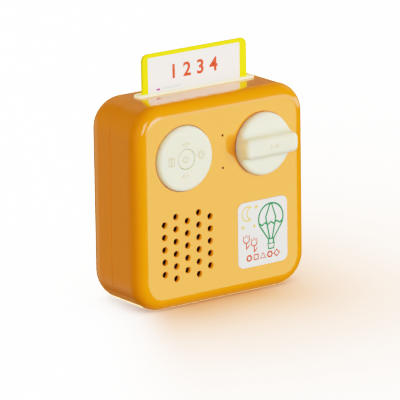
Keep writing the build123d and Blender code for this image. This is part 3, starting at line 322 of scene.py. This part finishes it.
def noiseNode(tree, place, scale, detail, twist=0.0):
    node = tree.nodes.new("ShaderNodeTexNoise")
    node.inputs["Detail"].default_value = detail
    node.inputs["Distortion"].default_value = twist
    tree.links.new(place, node.inputs["Vector"])
    tree.links.new(scale, node.inputs["Scale"])
    return node.outputs["Fac"]


def mouldedSkin(spec):
    group = bpy.data.node_groups.new("mouldedSkin", "ShaderNodeTree")
    addSocket(group, "Colour", "NodeSocketColor", "INPUT", (0.8, 0.8, 0.8, 1))
    addSocket(group, "Second Colour", "NodeSocketColor", "INPUT", (0.7, 0.7, 0.7, 1))
    addSocket(group, "Cloud Scale", "NodeSocketFloat", "INPUT", 40.0)
    addSocket(group, "Roughness", "NodeSocketFloat", "INPUT", 0.3)
    addSocket(group, "Roughness Spread", "NodeSocketFloat", "INPUT", 0.05)
    addSocket(group, "Grain Scale", "NodeSocketFloat", "INPUT", 1500.0)
    addSocket(group, "Grain Depth", "NodeSocketFloat", "INPUT", 0.1)
    addSocket(group, "Colour", "NodeSocketColor", "OUTPUT")
    addSocket(group, "Roughness", "NodeSocketFloat", "OUTPUT")
    addSocket(group, "Normal", "NodeSocketVector", "OUTPUT")
    given = group.nodes.new("NodeGroupInput").outputs
    put = group.nodes.new("NodeGroupOutput").inputs
    place = group.nodes.new("ShaderNodeTexCoord").outputs["Object"]
    clouds = noiseNode(group, place, given["Cloud Scale"], spec["cloudDetail"])
    smear = noiseNode(group, place, given["Cloud Scale"], spec["smearDetail"], spec["smearTwist"])
    grain = noiseNode(group, place, given["Grain Scale"], spec["grainDetail"])
    uneven = mathNode(group, "SUBTRACT", smear, 0.5)
    rough = mathNode(group, "MULTIPLY_ADD", uneven, given["Roughness Spread"], given["Roughness"])
    bump = group.nodes.new("ShaderNodeBump")
    bump.inputs["Distance"].default_value = spec["grainHeight"] * mm
    group.links.new(grain, bump.inputs["Height"])
    group.links.new(given["Grain Depth"], bump.inputs["Strength"])
    group.links.new(mixNode(group, clouds, given["Colour"], given["Second Colour"]), put["Colour"])
    group.links.new(rough, put["Roughness"])
    group.links.new(bump.outputs["Normal"], put["Normal"])
    return group


skin = mouldedSkin(skinSpec)


def finish(name, colour, second, rough, spread=0.05, clouds=40.0, grain=1500.0, depth=0.08, **sockets):
    material = bpy.data.materials.new(name)
    material.use_nodes = True
    tree = material.node_tree
    shader = tree.nodes["Principled BSDF"]
    surface = tree.nodes.new("ShaderNodeGroup")
    surface.node_tree = skin
    for socket, value in (
        ("Colour", (*colour, 1)),
        ("Second Colour", (*second, 1)),
        ("Cloud Scale", clouds),
        ("Roughness", rough),
        ("Roughness Spread", spread),
        ("Grain Scale", grain),
        ("Grain Depth", depth),
    ):
        surface.inputs[socket].default_value = value
    for given, taken in (("Colour", "Base Color"), ("Roughness", "Roughness"), ("Normal", "Normal")):
        tree.links.new(surface.outputs[given], shader.inputs[taken])
    for socket, value in sockets.items():
        shader.inputs[socket.replace("_", " ")].default_value = value
    return material


def shadeHoles(material, spec):
    tree = material.node_tree
    shader = tree.nodes["Principled BSDF"]
    split = tree.nodes.new("ShaderNodeSeparateXYZ")
    tree.links.new(tree.nodes.new("ShaderNodeTexCoord").outputs["Object"], split.inputs["Vector"])
    x, y, z = split.outputs
    within = 0.0
    for middle, height, radius in spec["places"]:
        across = mathNode(tree, "POWER", mathNode(tree, "SUBTRACT", x, middle * mm), 2.0)
        along = mathNode(tree, "POWER", mathNode(tree, "SUBTRACT", z, height * mm), 2.0)
        near = mathNode(tree, "LESS_THAN", mathNode(tree, "ADD", across, along), (radius * mm) ** 2)
        within = mathNode(tree, "MAXIMUM", near, within)
    behindFace = mathNode(tree, "GREATER_THAN", y, spec["face"] * mm)
    beforeEnd = mathNode(tree, "LESS_THAN", y, spec["end"] * mm)
    inside = mathNode(tree, "MULTIPLY", within, mathNode(tree, "MULTIPLY", behindFace, beforeEnd))
    # painted shade: the holes' walls darken with depth
    deep = rampNode(tree, y, spec["dark"][0] * mm, spec["dark"][1] * mm, kind="LINEAR")
    wall = mixNode(tree, deep, (*spec["wall"], 1), (*spec["deep"], 1))
    plain = shader.inputs["Base Color"].links[0].from_socket
    tree.links.new(mixNode(tree, inside, plain, wall), shader.inputs["Base Color"])
    # painted glow: near the rim the walls give off light, though no lamp is there
    if "paintedGlow" in spec:
        rim = mathNode(tree, "MULTIPLY", inside, mathNode(tree, "SUBTRACT", 1.0, deep))
        paintedGlow = mixNode(tree, rim, (0, 0, 0, 1), (*spec["paintedGlow"], 1))
        tree.links.new(paintedGlow, shader.inputs["Emission Color"])
        shader.inputs["Emission Strength"].default_value = 1.0


# a finish has two colours for its clouds and a roughness, and then what sets it apart
glossyCoat = {
    "IOR": 1.55,
    "Specular_IOR_Level": 0.2,
    "Coat_Weight": 1.0,
    "Coat_Roughness": 0.02,
    "Coat_IOR": 1.6,
}
creamDepth = {
    "Subsurface_Weight": 0.6,
    "Subsurface_Radius": (1.0, 0.55, 0.2),
    "Subsurface_Scale": 0.004,
}
# the bezel's coat, and a painted glow: the bezel gives off warm light though it is no lamp
coatAndPaintedGlow = {
    "Coat_Weight": 0.4,
    "Coat_Roughness": 0.05,
    "Emission_Color": (1.0, 0.88, 0.5, 1.0),
    "Emission_Strength": 0.32,
}
paints = {
    "housing_orange": finish("orangeGloss", (0.95, 0.308, 0.0), (0.935, 0.300, 0.0), 0.2, spread=0.06,
                             clouds=30.0, grain=900.0, depth=0.02, **glossyCoat),
    "cream_plastic": finish("creamSatin", (0.945, 0.925, 0.72), (0.93, 0.91, 0.70), 0.42, spread=0.06,
                            **creamDepth),
    "bezel_white": finish("bezelMilk", (0.97, 0.93, 0.68), (0.95, 0.91, 0.66), 0.25, **coatAndPaintedGlow),
    "card_print": finish("cardYellow", (0.90, 0.80, 0.0), (0.88, 0.78, 0.0), 0.3, spread=0.04,
                         Specular_IOR_Level=0.15, Sheen_Weight=0.6, Sheen_Roughness=0.25),
    "label_white": finish("labelPaper", (0.80, 0.83, 0.84), (0.78, 0.81, 0.82), 0.4),
    "black_plastic": finish("blackMoulding", (0.03, 0.03, 0.033), (0.04, 0.04, 0.042), 0.5),
    "natural_plastic": finish("naturalMoulding", (0.72, 0.70, 0.65), (0.68, 0.66, 0.61), 0.45),
    "clear_plastic": finish("smokedPipe", (0.03, 0.012, 0.008), (0.025, 0.01, 0.007), 0.3, spread=0.02,
                            Transmission_Weight=0.3, Specular_IOR_Level=0.05),
    "board_green": finish("solderMask", (0.02, 0.20, 0.07), (0.015, 0.16, 0.055), 0.3),
    "steel": finish("zincSteel", (0.62, 0.62, 0.63), (0.52, 0.52, 0.54), 0.32, spread=0.12,
                    Metallic=1.0),
    "nickel": finish("nickelShell", (0.70, 0.68, 0.64), (0.62, 0.60, 0.57), 0.24, spread=0.08,
                     Metallic=1.0),
    "copper": finish("copperWire", (0.72, 0.36, 0.18), (0.60, 0.28, 0.13), 0.35, spread=0.08,
                     Metallic=1.0),
    "silicone": finish("darkSilicone", (0.035, 0.035, 0.036), (0.05, 0.05, 0.052), 0.6),
    "foam": finish("blackFoam", (0.02, 0.02, 0.02), (0.035, 0.035, 0.035), 0.9, clouds=60.0,
                   grain=600.0, depth=0.6),
    "paper_cone": finish("pressedPaper", (0.012, 0.012, 0.013), (0.018, 0.018, 0.02), 0.6, spread=0.1,
                         clouds=60.0, grain=700.0, depth=0.3, Specular_IOR_Level=0.2),
    "ferrite": finish("ferriteBlock", (0.05, 0.05, 0.052), (0.07, 0.068, 0.068), 0.7, spread=0.08),
    "battery_foil": finish("foilPouch", (0.55, 0.57, 0.60), (0.48, 0.50, 0.53), 0.3, spread=0.1,
                           Metallic=0.9),
    "wire_sleeve": finish("wireSleeve", (0.50, 0.03, 0.02), (0.42, 0.025, 0.02), 0.4),
}
inks = {
    "white": finish("fieldWhite", (0.93, 0.925, 0.95), (0.915, 0.91, 0.935), 0.3, spread=0.04,
                    Coat_Weight=0.3, Coat_Roughness=0.06),
    "green": finish("inkGreen", (0.01, 0.24, 0.085), (0.008, 0.22, 0.075), 0.4),
    "yellow": finish("inkYellow", (0.88, 0.60, 0.06), (0.84, 0.56, 0.05), 0.4),
    "red": finish("inkRed", (0.62, 0.055, 0.006), (0.57, 0.05, 0.005), 0.4),
    "violet": finish("inkViolet", (0.42, 0.02, 0.38), (0.39, 0.02, 0.35), 0.4),
    "cyan": finish("inkCyan", (0.62, 0.80, 0.84), (0.58, 0.77, 0.81), 0.4),
    "pad": finish("inkPad", (0.72, 0.63, 0.30), (0.69, 0.60, 0.28), 0.45),
}
# a place is x, z and radius in millimetres, and "face", "dark" and "end" are places along y
# the walls of the grille's holes have a painted glow near the rim, and painted shade further in
grilleSpec = {
    "places": ((-18.3, 26.7, 18.0),),
    "face": -18.97,
    "dark": (-18.0, -17.2),
    "end": -15.0,
    "wall": (1.0, 0.48, 0.01),
    "paintedGlow": (0.28, 0.06, 0.0),
    "deep": (0.02, 0.004, 0.002),
}
# painted shade inside the two pinholes: their walls darken with depth
pinholeSpec = {
    "places": ((0.3, 71.0, 0.7), (0.3, 57.0, 0.7)),
    "face": -18.97,
    "dark": (-18.95, -18.7),
    "end": -15.0,
    "wall": (0.5, 0.15, 0.0),
    "deep": (0.015, 0.003, 0.002),
}
shadeHoles(paints["housing_orange"], grilleSpec)
shadeHoles(paints["housing_orange"], pinholeSpec)
for part in frame["record"]["subparts"]:
    if part["node"] in nodes:
        for slot in nodes[part["node"]].material_slots:
            slot.material = paints[part["material_slot"]]
print("finishes given to", len(nodes), "nodes")

# printed lines are strokes with an oval section, swept along their curve
penSpec = {
    "sides": 8,
    "width": 0.5,
    "height": 0.1,
}


def inkLineTree(spec):
    tree = bpy.data.node_groups.new("inkLine", "GeometryNodeTree")
    addSocket(tree, "Curve", "NodeSocketGeometry", "INPUT")
    addSocket(tree, "Width", "NodeSocketFloat", "INPUT", spec["width"] * mm)
    addSocket(tree, "Height", "NodeSocketFloat", "INPUT", spec["height"] * mm)
    addSocket(tree, "Material", "NodeSocketMaterial", "INPUT")
    addSocket(tree, "Mesh", "NodeSocketGeometry", "OUTPUT")
    given = tree.nodes.new("NodeGroupInput").outputs
    put = tree.nodes.new("NodeGroupOutput").inputs
    flat = tree.nodes.new("GeometryNodeSetCurveNormal")
    flat.mode = "Z_UP"
    profile = tree.nodes.new("GeometryNodeCurvePrimitiveCircle")
    profile.inputs["Resolution"].default_value = spec["sides"]
    profile.inputs["Radius"].default_value = 0.5    # one unit across, scaled to the stroke
    size = tree.nodes.new("ShaderNodeCombineXYZ")
    size.inputs["Z"].default_value = 1.0
    squash = tree.nodes.new("GeometryNodeTransform")
    sweep = tree.nodes.new("GeometryNodeCurveToMesh")
    sweep.inputs["Fill Caps"].default_value = True
    real = tree.nodes.new("GeometryNodeRealizeInstances")
    paint = tree.nodes.new("GeometryNodeSetMaterial")
    for source, socket in (
        (given["Curve"], flat.inputs["Curve"]),
        (given["Width"], size.inputs["X"]),
        (given["Height"], size.inputs["Y"]),
        (profile.outputs["Curve"], squash.inputs["Geometry"]),
        (size.outputs["Vector"], squash.inputs["Scale"]),
        (flat.outputs["Curve"], sweep.inputs["Curve"]),
        (squash.outputs["Geometry"], sweep.inputs["Profile Curve"]),
        (sweep.outputs["Mesh"], real.inputs["Geometry"]),
        (real.outputs["Geometry"], paint.inputs["Geometry"]),
        (given["Material"], paint.inputs["Material"]),
        (paint.outputs["Geometry"], put["Mesh"]),
    ):
        tree.links.new(source, socket)
    return tree


inkLine = inkLineTree(penSpec)
inkSockets = {item.name: item.identifier for item in inkLine.interface.items_tree}


def onFront(x, y, z):
    return Matrix(((1, 0, 0, x * mm), (0, 0, -1, y * mm), (0, 1, 0, z * mm), (0, 0, 0, 1)))


def plainMesh(holder):
    mesh = bpy.data.meshes.new_from_object(holder.evaluated_get(bpy.context.evaluated_depsgraph_get()))
    bpy.data.objects.remove(holder)
    return mesh


def settle(name, mesh, place, body):
    mesh.transform(place)
    mesh.validate()
    piece = bpy.data.objects.new(name, mesh)
    scene.collection.objects.link(piece)
    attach(piece, body)


def drawn(name, strokes, place, body, ink, width, height):
    curve = bpy.data.curves.new(name + "Line", "CURVE")
    curve.dimensions = "3D"
    for points, closed in strokes:
        line = curve.splines.new("POLY")
        line.points.add(len(points) - 1)
        line.use_cyclic_u = closed
        for knot, (x, y) in zip(line.points, points):
            knot.co = (x * mm, y * mm, 0, 1)
    holder = bpy.data.objects.new(name + "Line", curve)
    scene.collection.objects.link(holder)
    sweep = holder.modifiers.new("ink", "NODES")
    sweep.node_group = inkLine
    sweep[inkSockets["Width"]] = width * mm
    sweep[inkSockets["Height"]] = height * mm
    sweep[inkSockets["Material"]] = ink
    mesh = plainMesh(holder)
    for face in mesh.polygons:
        face.use_smooth = True
    settle(name, mesh, place, body)


# a stroke is a list of points in millimetres, and whether it is closed
def moved(points, place, closed=False):
    x, y = place
    return [(x + across, y + up) for across, up in points], closed


def arc(x, y, radius, start, end, steps=16, tall=1.0):
    turns = [math.radians(start + (end - start) * i / steps) for i in range(steps + 1)]
    return [(x + radius * math.cos(turn), y + radius * tall * math.sin(turn)) for turn in turns]


def spoke(x, y, inner, outer, angle):
    turn = math.radians(angle)
    return [(x + reach * math.cos(turn), y + reach * math.sin(turn)) for reach in (inner, outer)], False


def polygon(x, y, radius, corners, start):
    turns = [math.radians(start + 360 * i / corners) for i in range(corners)]
    return [(x + radius * math.cos(turn), y + radius * math.sin(turn)) for turn in turns], True


# marks on the rocker pad and the power key: louder, softer, page, lamp and power
padSpec = {
    "centre": (-19.75, 64.4),
    "face": -21.1,
    "width": 0.44,
    "height": 0.06,
    "up": (-0.4, 6.5),
    "down": (-0.9, -7.1),
    "left": (-7.6, -0.2),
    "right": (7.5, 0.3),
    "middle": (-0.5, 0.05),
    "horn": ((-1.7, 0), (-0.9, 0), (0.1, 1.1), (0.1, -1.1), (-0.9, 0)),
    "level": ((0.8, 0), (2.0, 0)),
    "upright": ((1.4, -0.6), (1.4, 0.6)),
    "page": ((-1.3, -1.7), (-1.3, 1.7), (1.3, 1.7), (1.3, -1.7)),
    "fold": ((0, -1.7), (0, 1.7)),
    "bulbRise": 0.5,
    "bulbRadius": 1.25,
    "bulbArc": (-55, 235),
    "bulbFoot": ((-0.72, -0.52), (-0.6, -1.2), (0.6, -1.2), (0.72, -0.52)),
    "rays": (1.75, 2.2),    # from and to, out of the bulb's middle
    "rayAngles": (0, 45, 90, 135, 180),
    "powerRadius": 1.3,
    "powerArc": (125, 415),
    "powerStem": ((0, 0.2), (0, 1.6)),
}


def padMarks(spec):
    louder = [moved(spec[line], spec["up"]) for line in ("horn", "level", "upright")]
    softer = [moved(spec[line], spec["down"]) for line in ("horn", "level")]
    page = [moved(spec["page"], spec["left"], True), moved(spec["fold"], spec["left"])]
    x, y = spec["right"]
    middle = y + spec["bulbRise"]
    glass = arc(x, middle, spec["bulbRadius"], *spec["bulbArc"])
    lamp = [(glass, False), moved(spec["bulbFoot"], spec["right"])]
    rays = [spoke(x, middle, *spec["rays"], angle) for angle in spec["rayAngles"]]
    return louder + softer + page + lamp + rays


def powerMark(spec):
    circle = arc(*spec["middle"], spec["powerRadius"], *spec["powerArc"])
    return [(circle, False), moved(spec["powerStem"], spec["middle"])]


padPlace = onFront(padSpec["centre"][0], padSpec["face"], padSpec["centre"][1])
for name, strokes, body in (
    ("padMarks", padMarks(padSpec), "rocker_pad"),
    ("powerMark", powerMark(padSpec), "power_key"),
):
    drawn(name, strokes, padPlace, body, inks["pad"],
          padSpec["width"], padSpec["height"])

# play and pause on the knob's bar
knobSpec = {
    "centre": (21.4, 64.45),
    "face": -27.3,
    "width": 0.42,
    "height": 0.06,
    "play": ((-2.2, -0.9), (-2.2, 0.9), (-0.7, 0)),
    "pause": ((0, -0.9), (0, 0.9)),
    "pausePlaces": (0.6, 1.6),
}


def knobMark(spec):
    pause = [moved(spec["pause"], (x, 0)) for x in spec["pausePlaces"]]
    return [moved(spec["play"], (0, 0), True)] + pause


knobPlace = onFront(knobSpec["centre"][0], knobSpec["face"], knobSpec["centre"][1])
drawn("knobMark", knobMark(knobSpec), knobPlace, "knob", inks["pad"],
      knobSpec["width"], knobSpec["height"])
print("marks on pad, button and knob made")

# the label's drawing, from the label's centre
labelSpec = {
    "centre": (20.55, 25.75),
    "face": -19.1,
    "line": 0.8,
    "thinLine": 0.6,
    "height": 0.06,
    "balloon": (4.3, 5.6),
    "balloonRadius": 6.4,
    "balloonArc": (-38, 218, 28),
    "neckDrop": 1.42,              # a share of the radius, and so down to the waves' drop
    "neckHalf": 0.22,
    "seamArc": (100, 80, 2),
    "seamTop": (0.44, 2.2),
    "seamBulge": 0.4,
    "seamFoot": 0.1,
    "secondSeam": ((-0.06, 0.97), (-0.42, 0.1)),
    "ropeHalf": 0.2,
    "waveDrop": 0.35,
    "waveHeight": 0.5,
    "waveShare": 8.4,              # steps of the waves in one radius
    "waveSteps": 8,                # to each side of the middle
    "ropeLength": 2.1,
    "basket": (1.7, 1.3, 2.2),     # half the rim, half the foot and the height
    "moon": (-7.6, 9.2),
    "moonRadius": 3.1,
    "moonOuter": (60, 300, 20),    # from, to and steps, as in every arc here
    "moonInner": (254, 106, 14),
    "moonBite": (0.72, 0.9),       # shift and radius of the inner arc, as shares
    "stars": ((-3.4, 11.6, 1.0), (-4.4, 3.4, 0.8), (-10.2, 3.6, 0.9)),
    "flowers": ((-8.6, -1.9), (-4.6, -3.7)),
    "cup": (1.5, 180, 360, 12),    # radius, and its arc
    "petals": ((1.5, 1.8), (0.75, 0.8), (0, 2.1), (-0.75, 0.8), (-1.5, 1.8)),
    "stem": ((0, -1.5), (0.1, -4.4)),
    "leaf": ((0.1, -3.9), (1.1, -3.2), (1.5, -2.3)),
    "rowHeight": -10.2,
    "rowPitch": 3.6,
    # rise, radius, corners and turn of each shape, a ring first
    "row": ((0, 1.15, 18, 0), (0, 1.5, 4, 45), (-0.25, 1.55, 3, 90), (0, 1.25, 6, 0), (0, 1.45, 4, 90)),
}


def balloon(spec):
    x, y = spec["balloon"]
    radius = spec["balloonRadius"]
    neck = y - spec["neckDrop"] * radius
    rim = neck - spec["ropeLength"]
    rimHalf, footHalf, depth = spec["basket"]
    narrow, tall = spec["seamTop"]
    mouth = [(x - spec["neckHalf"] * radius, neck), (x + spec["neckHalf"] * radius, neck)]
    seam = arc(x, y, narrow * radius, *spec["seamArc"], tall)
    seam += [(x + spec["seamBulge"] * radius, y), (x + spec["seamFoot"] * radius, neck)]
    second = [(x + across * radius, y + up * radius) for across, up in spec["secondSeam"]]
    second.append((x - spec["seamFoot"] * radius, neck))
    ropes = [x - spec["ropeHalf"] * radius, x + spec["ropeHalf"] * radius]
    basket = [(-rimHalf, 0), (rimHalf, 0), (footHalf, -depth), (-footHalf, -depth)]
    waves = [
        (x + step * radius / spec["waveShare"],
         y - spec["waveDrop"] * radius + spec["waveHeight"] * math.cos(math.pi * step / 2))
        for step in range(-spec["waveSteps"], spec["waveSteps"] + 1)
    ]
    return [
        (arc(x, y, radius, *spec["balloonArc"]) + mouth, True),
        (seam, False),
        (second, False),
        ([(ropes[0], neck), (ropes[0], rim)], False),
        ([(ropes[1], neck), (ropes[1], rim)], False),
        moved(basket, (x, rim), True),
        (waves, False),
    ]


def moon(spec):
    x, y = spec["moon"]
    radius = spec["moonRadius"]
    shift, share = spec["moonBite"]
    outer = arc(x, y, radius, *spec["moonOuter"])
    inner = arc(x + shift * radius, y, share * radius, *spec["moonInner"])
    return [(outer + inner, True)]


def stars(spec):
    return [spoke(x, y, -size, size, angle) for x, y, size in spec["stars"] for angle in (0, 90)]


def tulips(spec):
    lines = []
    for place in spec["flowers"]:
        petals, closed = moved(spec["petals"], place, True)
        lines.append((arc(*place, *spec["cup"]) + petals, closed))
        lines.append(moved(spec["stem"], place))
        lines.append(moved(spec["leaf"], place))
    return lines


def shapeRow(spec):
    first = -(len(spec["row"]) // 2)
    return [
        polygon((first + i) * spec["rowPitch"], spec["rowHeight"] + rise, radius, corners, start)
        for i, (rise, radius, corners, start) in enumerate(spec["row"])
    ]


labelPlace = onFront(labelSpec["centre"][0], labelSpec["face"], labelSpec["centre"][1])
for name, strokes, ink, line in (
    ("labelBalloon", balloon(labelSpec), "green", "line"),
    ("labelMoon", moon(labelSpec) + stars(labelSpec), "yellow", "thinLine"),
    ("labelFlowers", tulips(labelSpec), "red", "thinLine"),
    ("labelShapes", shapeRow(labelSpec), "red", "line"),
):
    drawn(name, strokes, labelPlace, "housing", inks[ink],
          labelSpec[line], labelSpec["height"])
print("label drawn")

# print on the card: a white field on each face, and a number, a dash and a thread on the front
cardSpec = {
    "front": -0.15,
    "back": 1.35,
    "left": -23.75,
    "right": 23.35,
    "top": 103.9,
    "bottom": 21.8,
    "corner": 0.5,
    "cornerSteps": 4,
    "proud": 0.03,
    "sunk": 0.1,
    "number": "1 2 3 4",
    "numberSize": 8.3,
    "numberCentre": (-0.4, 96.3),
    "numberSpacing": 1.05,
    "numberWeight": 0.235,    # how far the outline is swelled
    "numberHeight": 0.04,
    "dash": ((-19.6, 89.95), (-17.7, 89.95)),
    "dashWidth": 0.85,
    "thread": ((-16.6, 90.0), (-7.0, 90.1)),
    "threadWidth": 0.6,
    "lineHeight": 0.05,
}


def fieldPlate(name, spec, facing):
    sign = -1 if facing == "front" else 1
    outer = spec[facing] + sign * spec["proud"]
    inner = spec[facing] - sign * spec["sunk"]
    radius = spec["corner"]
    corners = (
        (spec["right"] - radius, spec["top"] - radius, 0),
        (spec["left"] + radius, spec["top"] - radius, 90),
        (spec["left"] + radius, spec["bottom"] + radius, 180),
        (spec["right"] - radius, spec["bottom"] + radius, 270),
    )
    edge = []
    for x, z, start in corners:
        edge += arc(x, z, radius, start, start + 90, spec["cornerSteps"])
    count = len(edge)
    points = [(x * mm, y * mm, z * mm) for y in (outer, inner) for x, z in edge]
    near = list(range(count))
    far = [i + count for i in near]
    sides = [(i, (i + 1) % count, (i + 1) % count + count, i + count) for i in near]
    if facing == "front":
        faces = [near, far[::-1]] + [side[::-1] for side in sides]
    else:
        faces = [near[::-1], far] + sides
    mesh = bpy.data.meshes.new(name)
    mesh.from_pydata(points, [], faces)
    mesh.materials.append(inks["white"])
    settle(name, mesh, Matrix.Identity(4), "card")


def cardNumber(spec):
    data = bpy.data.curves.new("cardNumber", "FONT")
    data.body = spec["number"]
    data.size = spec["numberSize"] * mm
    data.align_x = "CENTER"
    data.align_y = "CENTER"
    data.extrude = spec["numberHeight"] * mm
    data.offset = spec["numberWeight"] * mm
    data.space_character = spec["numberSpacing"]
    holder = bpy.data.objects.new("cardNumberText", data)
    scene.collection.objects.link(holder)
    mesh = plainMesh(holder)
    mesh.materials.clear()
    mesh.materials.append(inks["red"])
    x, z = spec["numberCentre"]
    settle("cardNumber", mesh, onFront(x, spec["front"] - spec["proud"], z), "card")


fieldPlate("cardFieldFront", cardSpec, "front")
fieldPlate("cardFieldBack", cardSpec, "back")
cardNumber(cardSpec)
cardPlace = onFront(0, cardSpec["front"] - cardSpec["proud"], 0)
for name, line, ink, width in (
    ("cardDash", "dash", "violet", "dashWidth"),
    ("cardThread", "thread", "cyan", "threadWidth"),
):
    drawn(name, [(cardSpec[line], False)], cardPlace, "card", inks[ink],
          cardSpec[width], cardSpec["lineHeight"])
print("card printed")
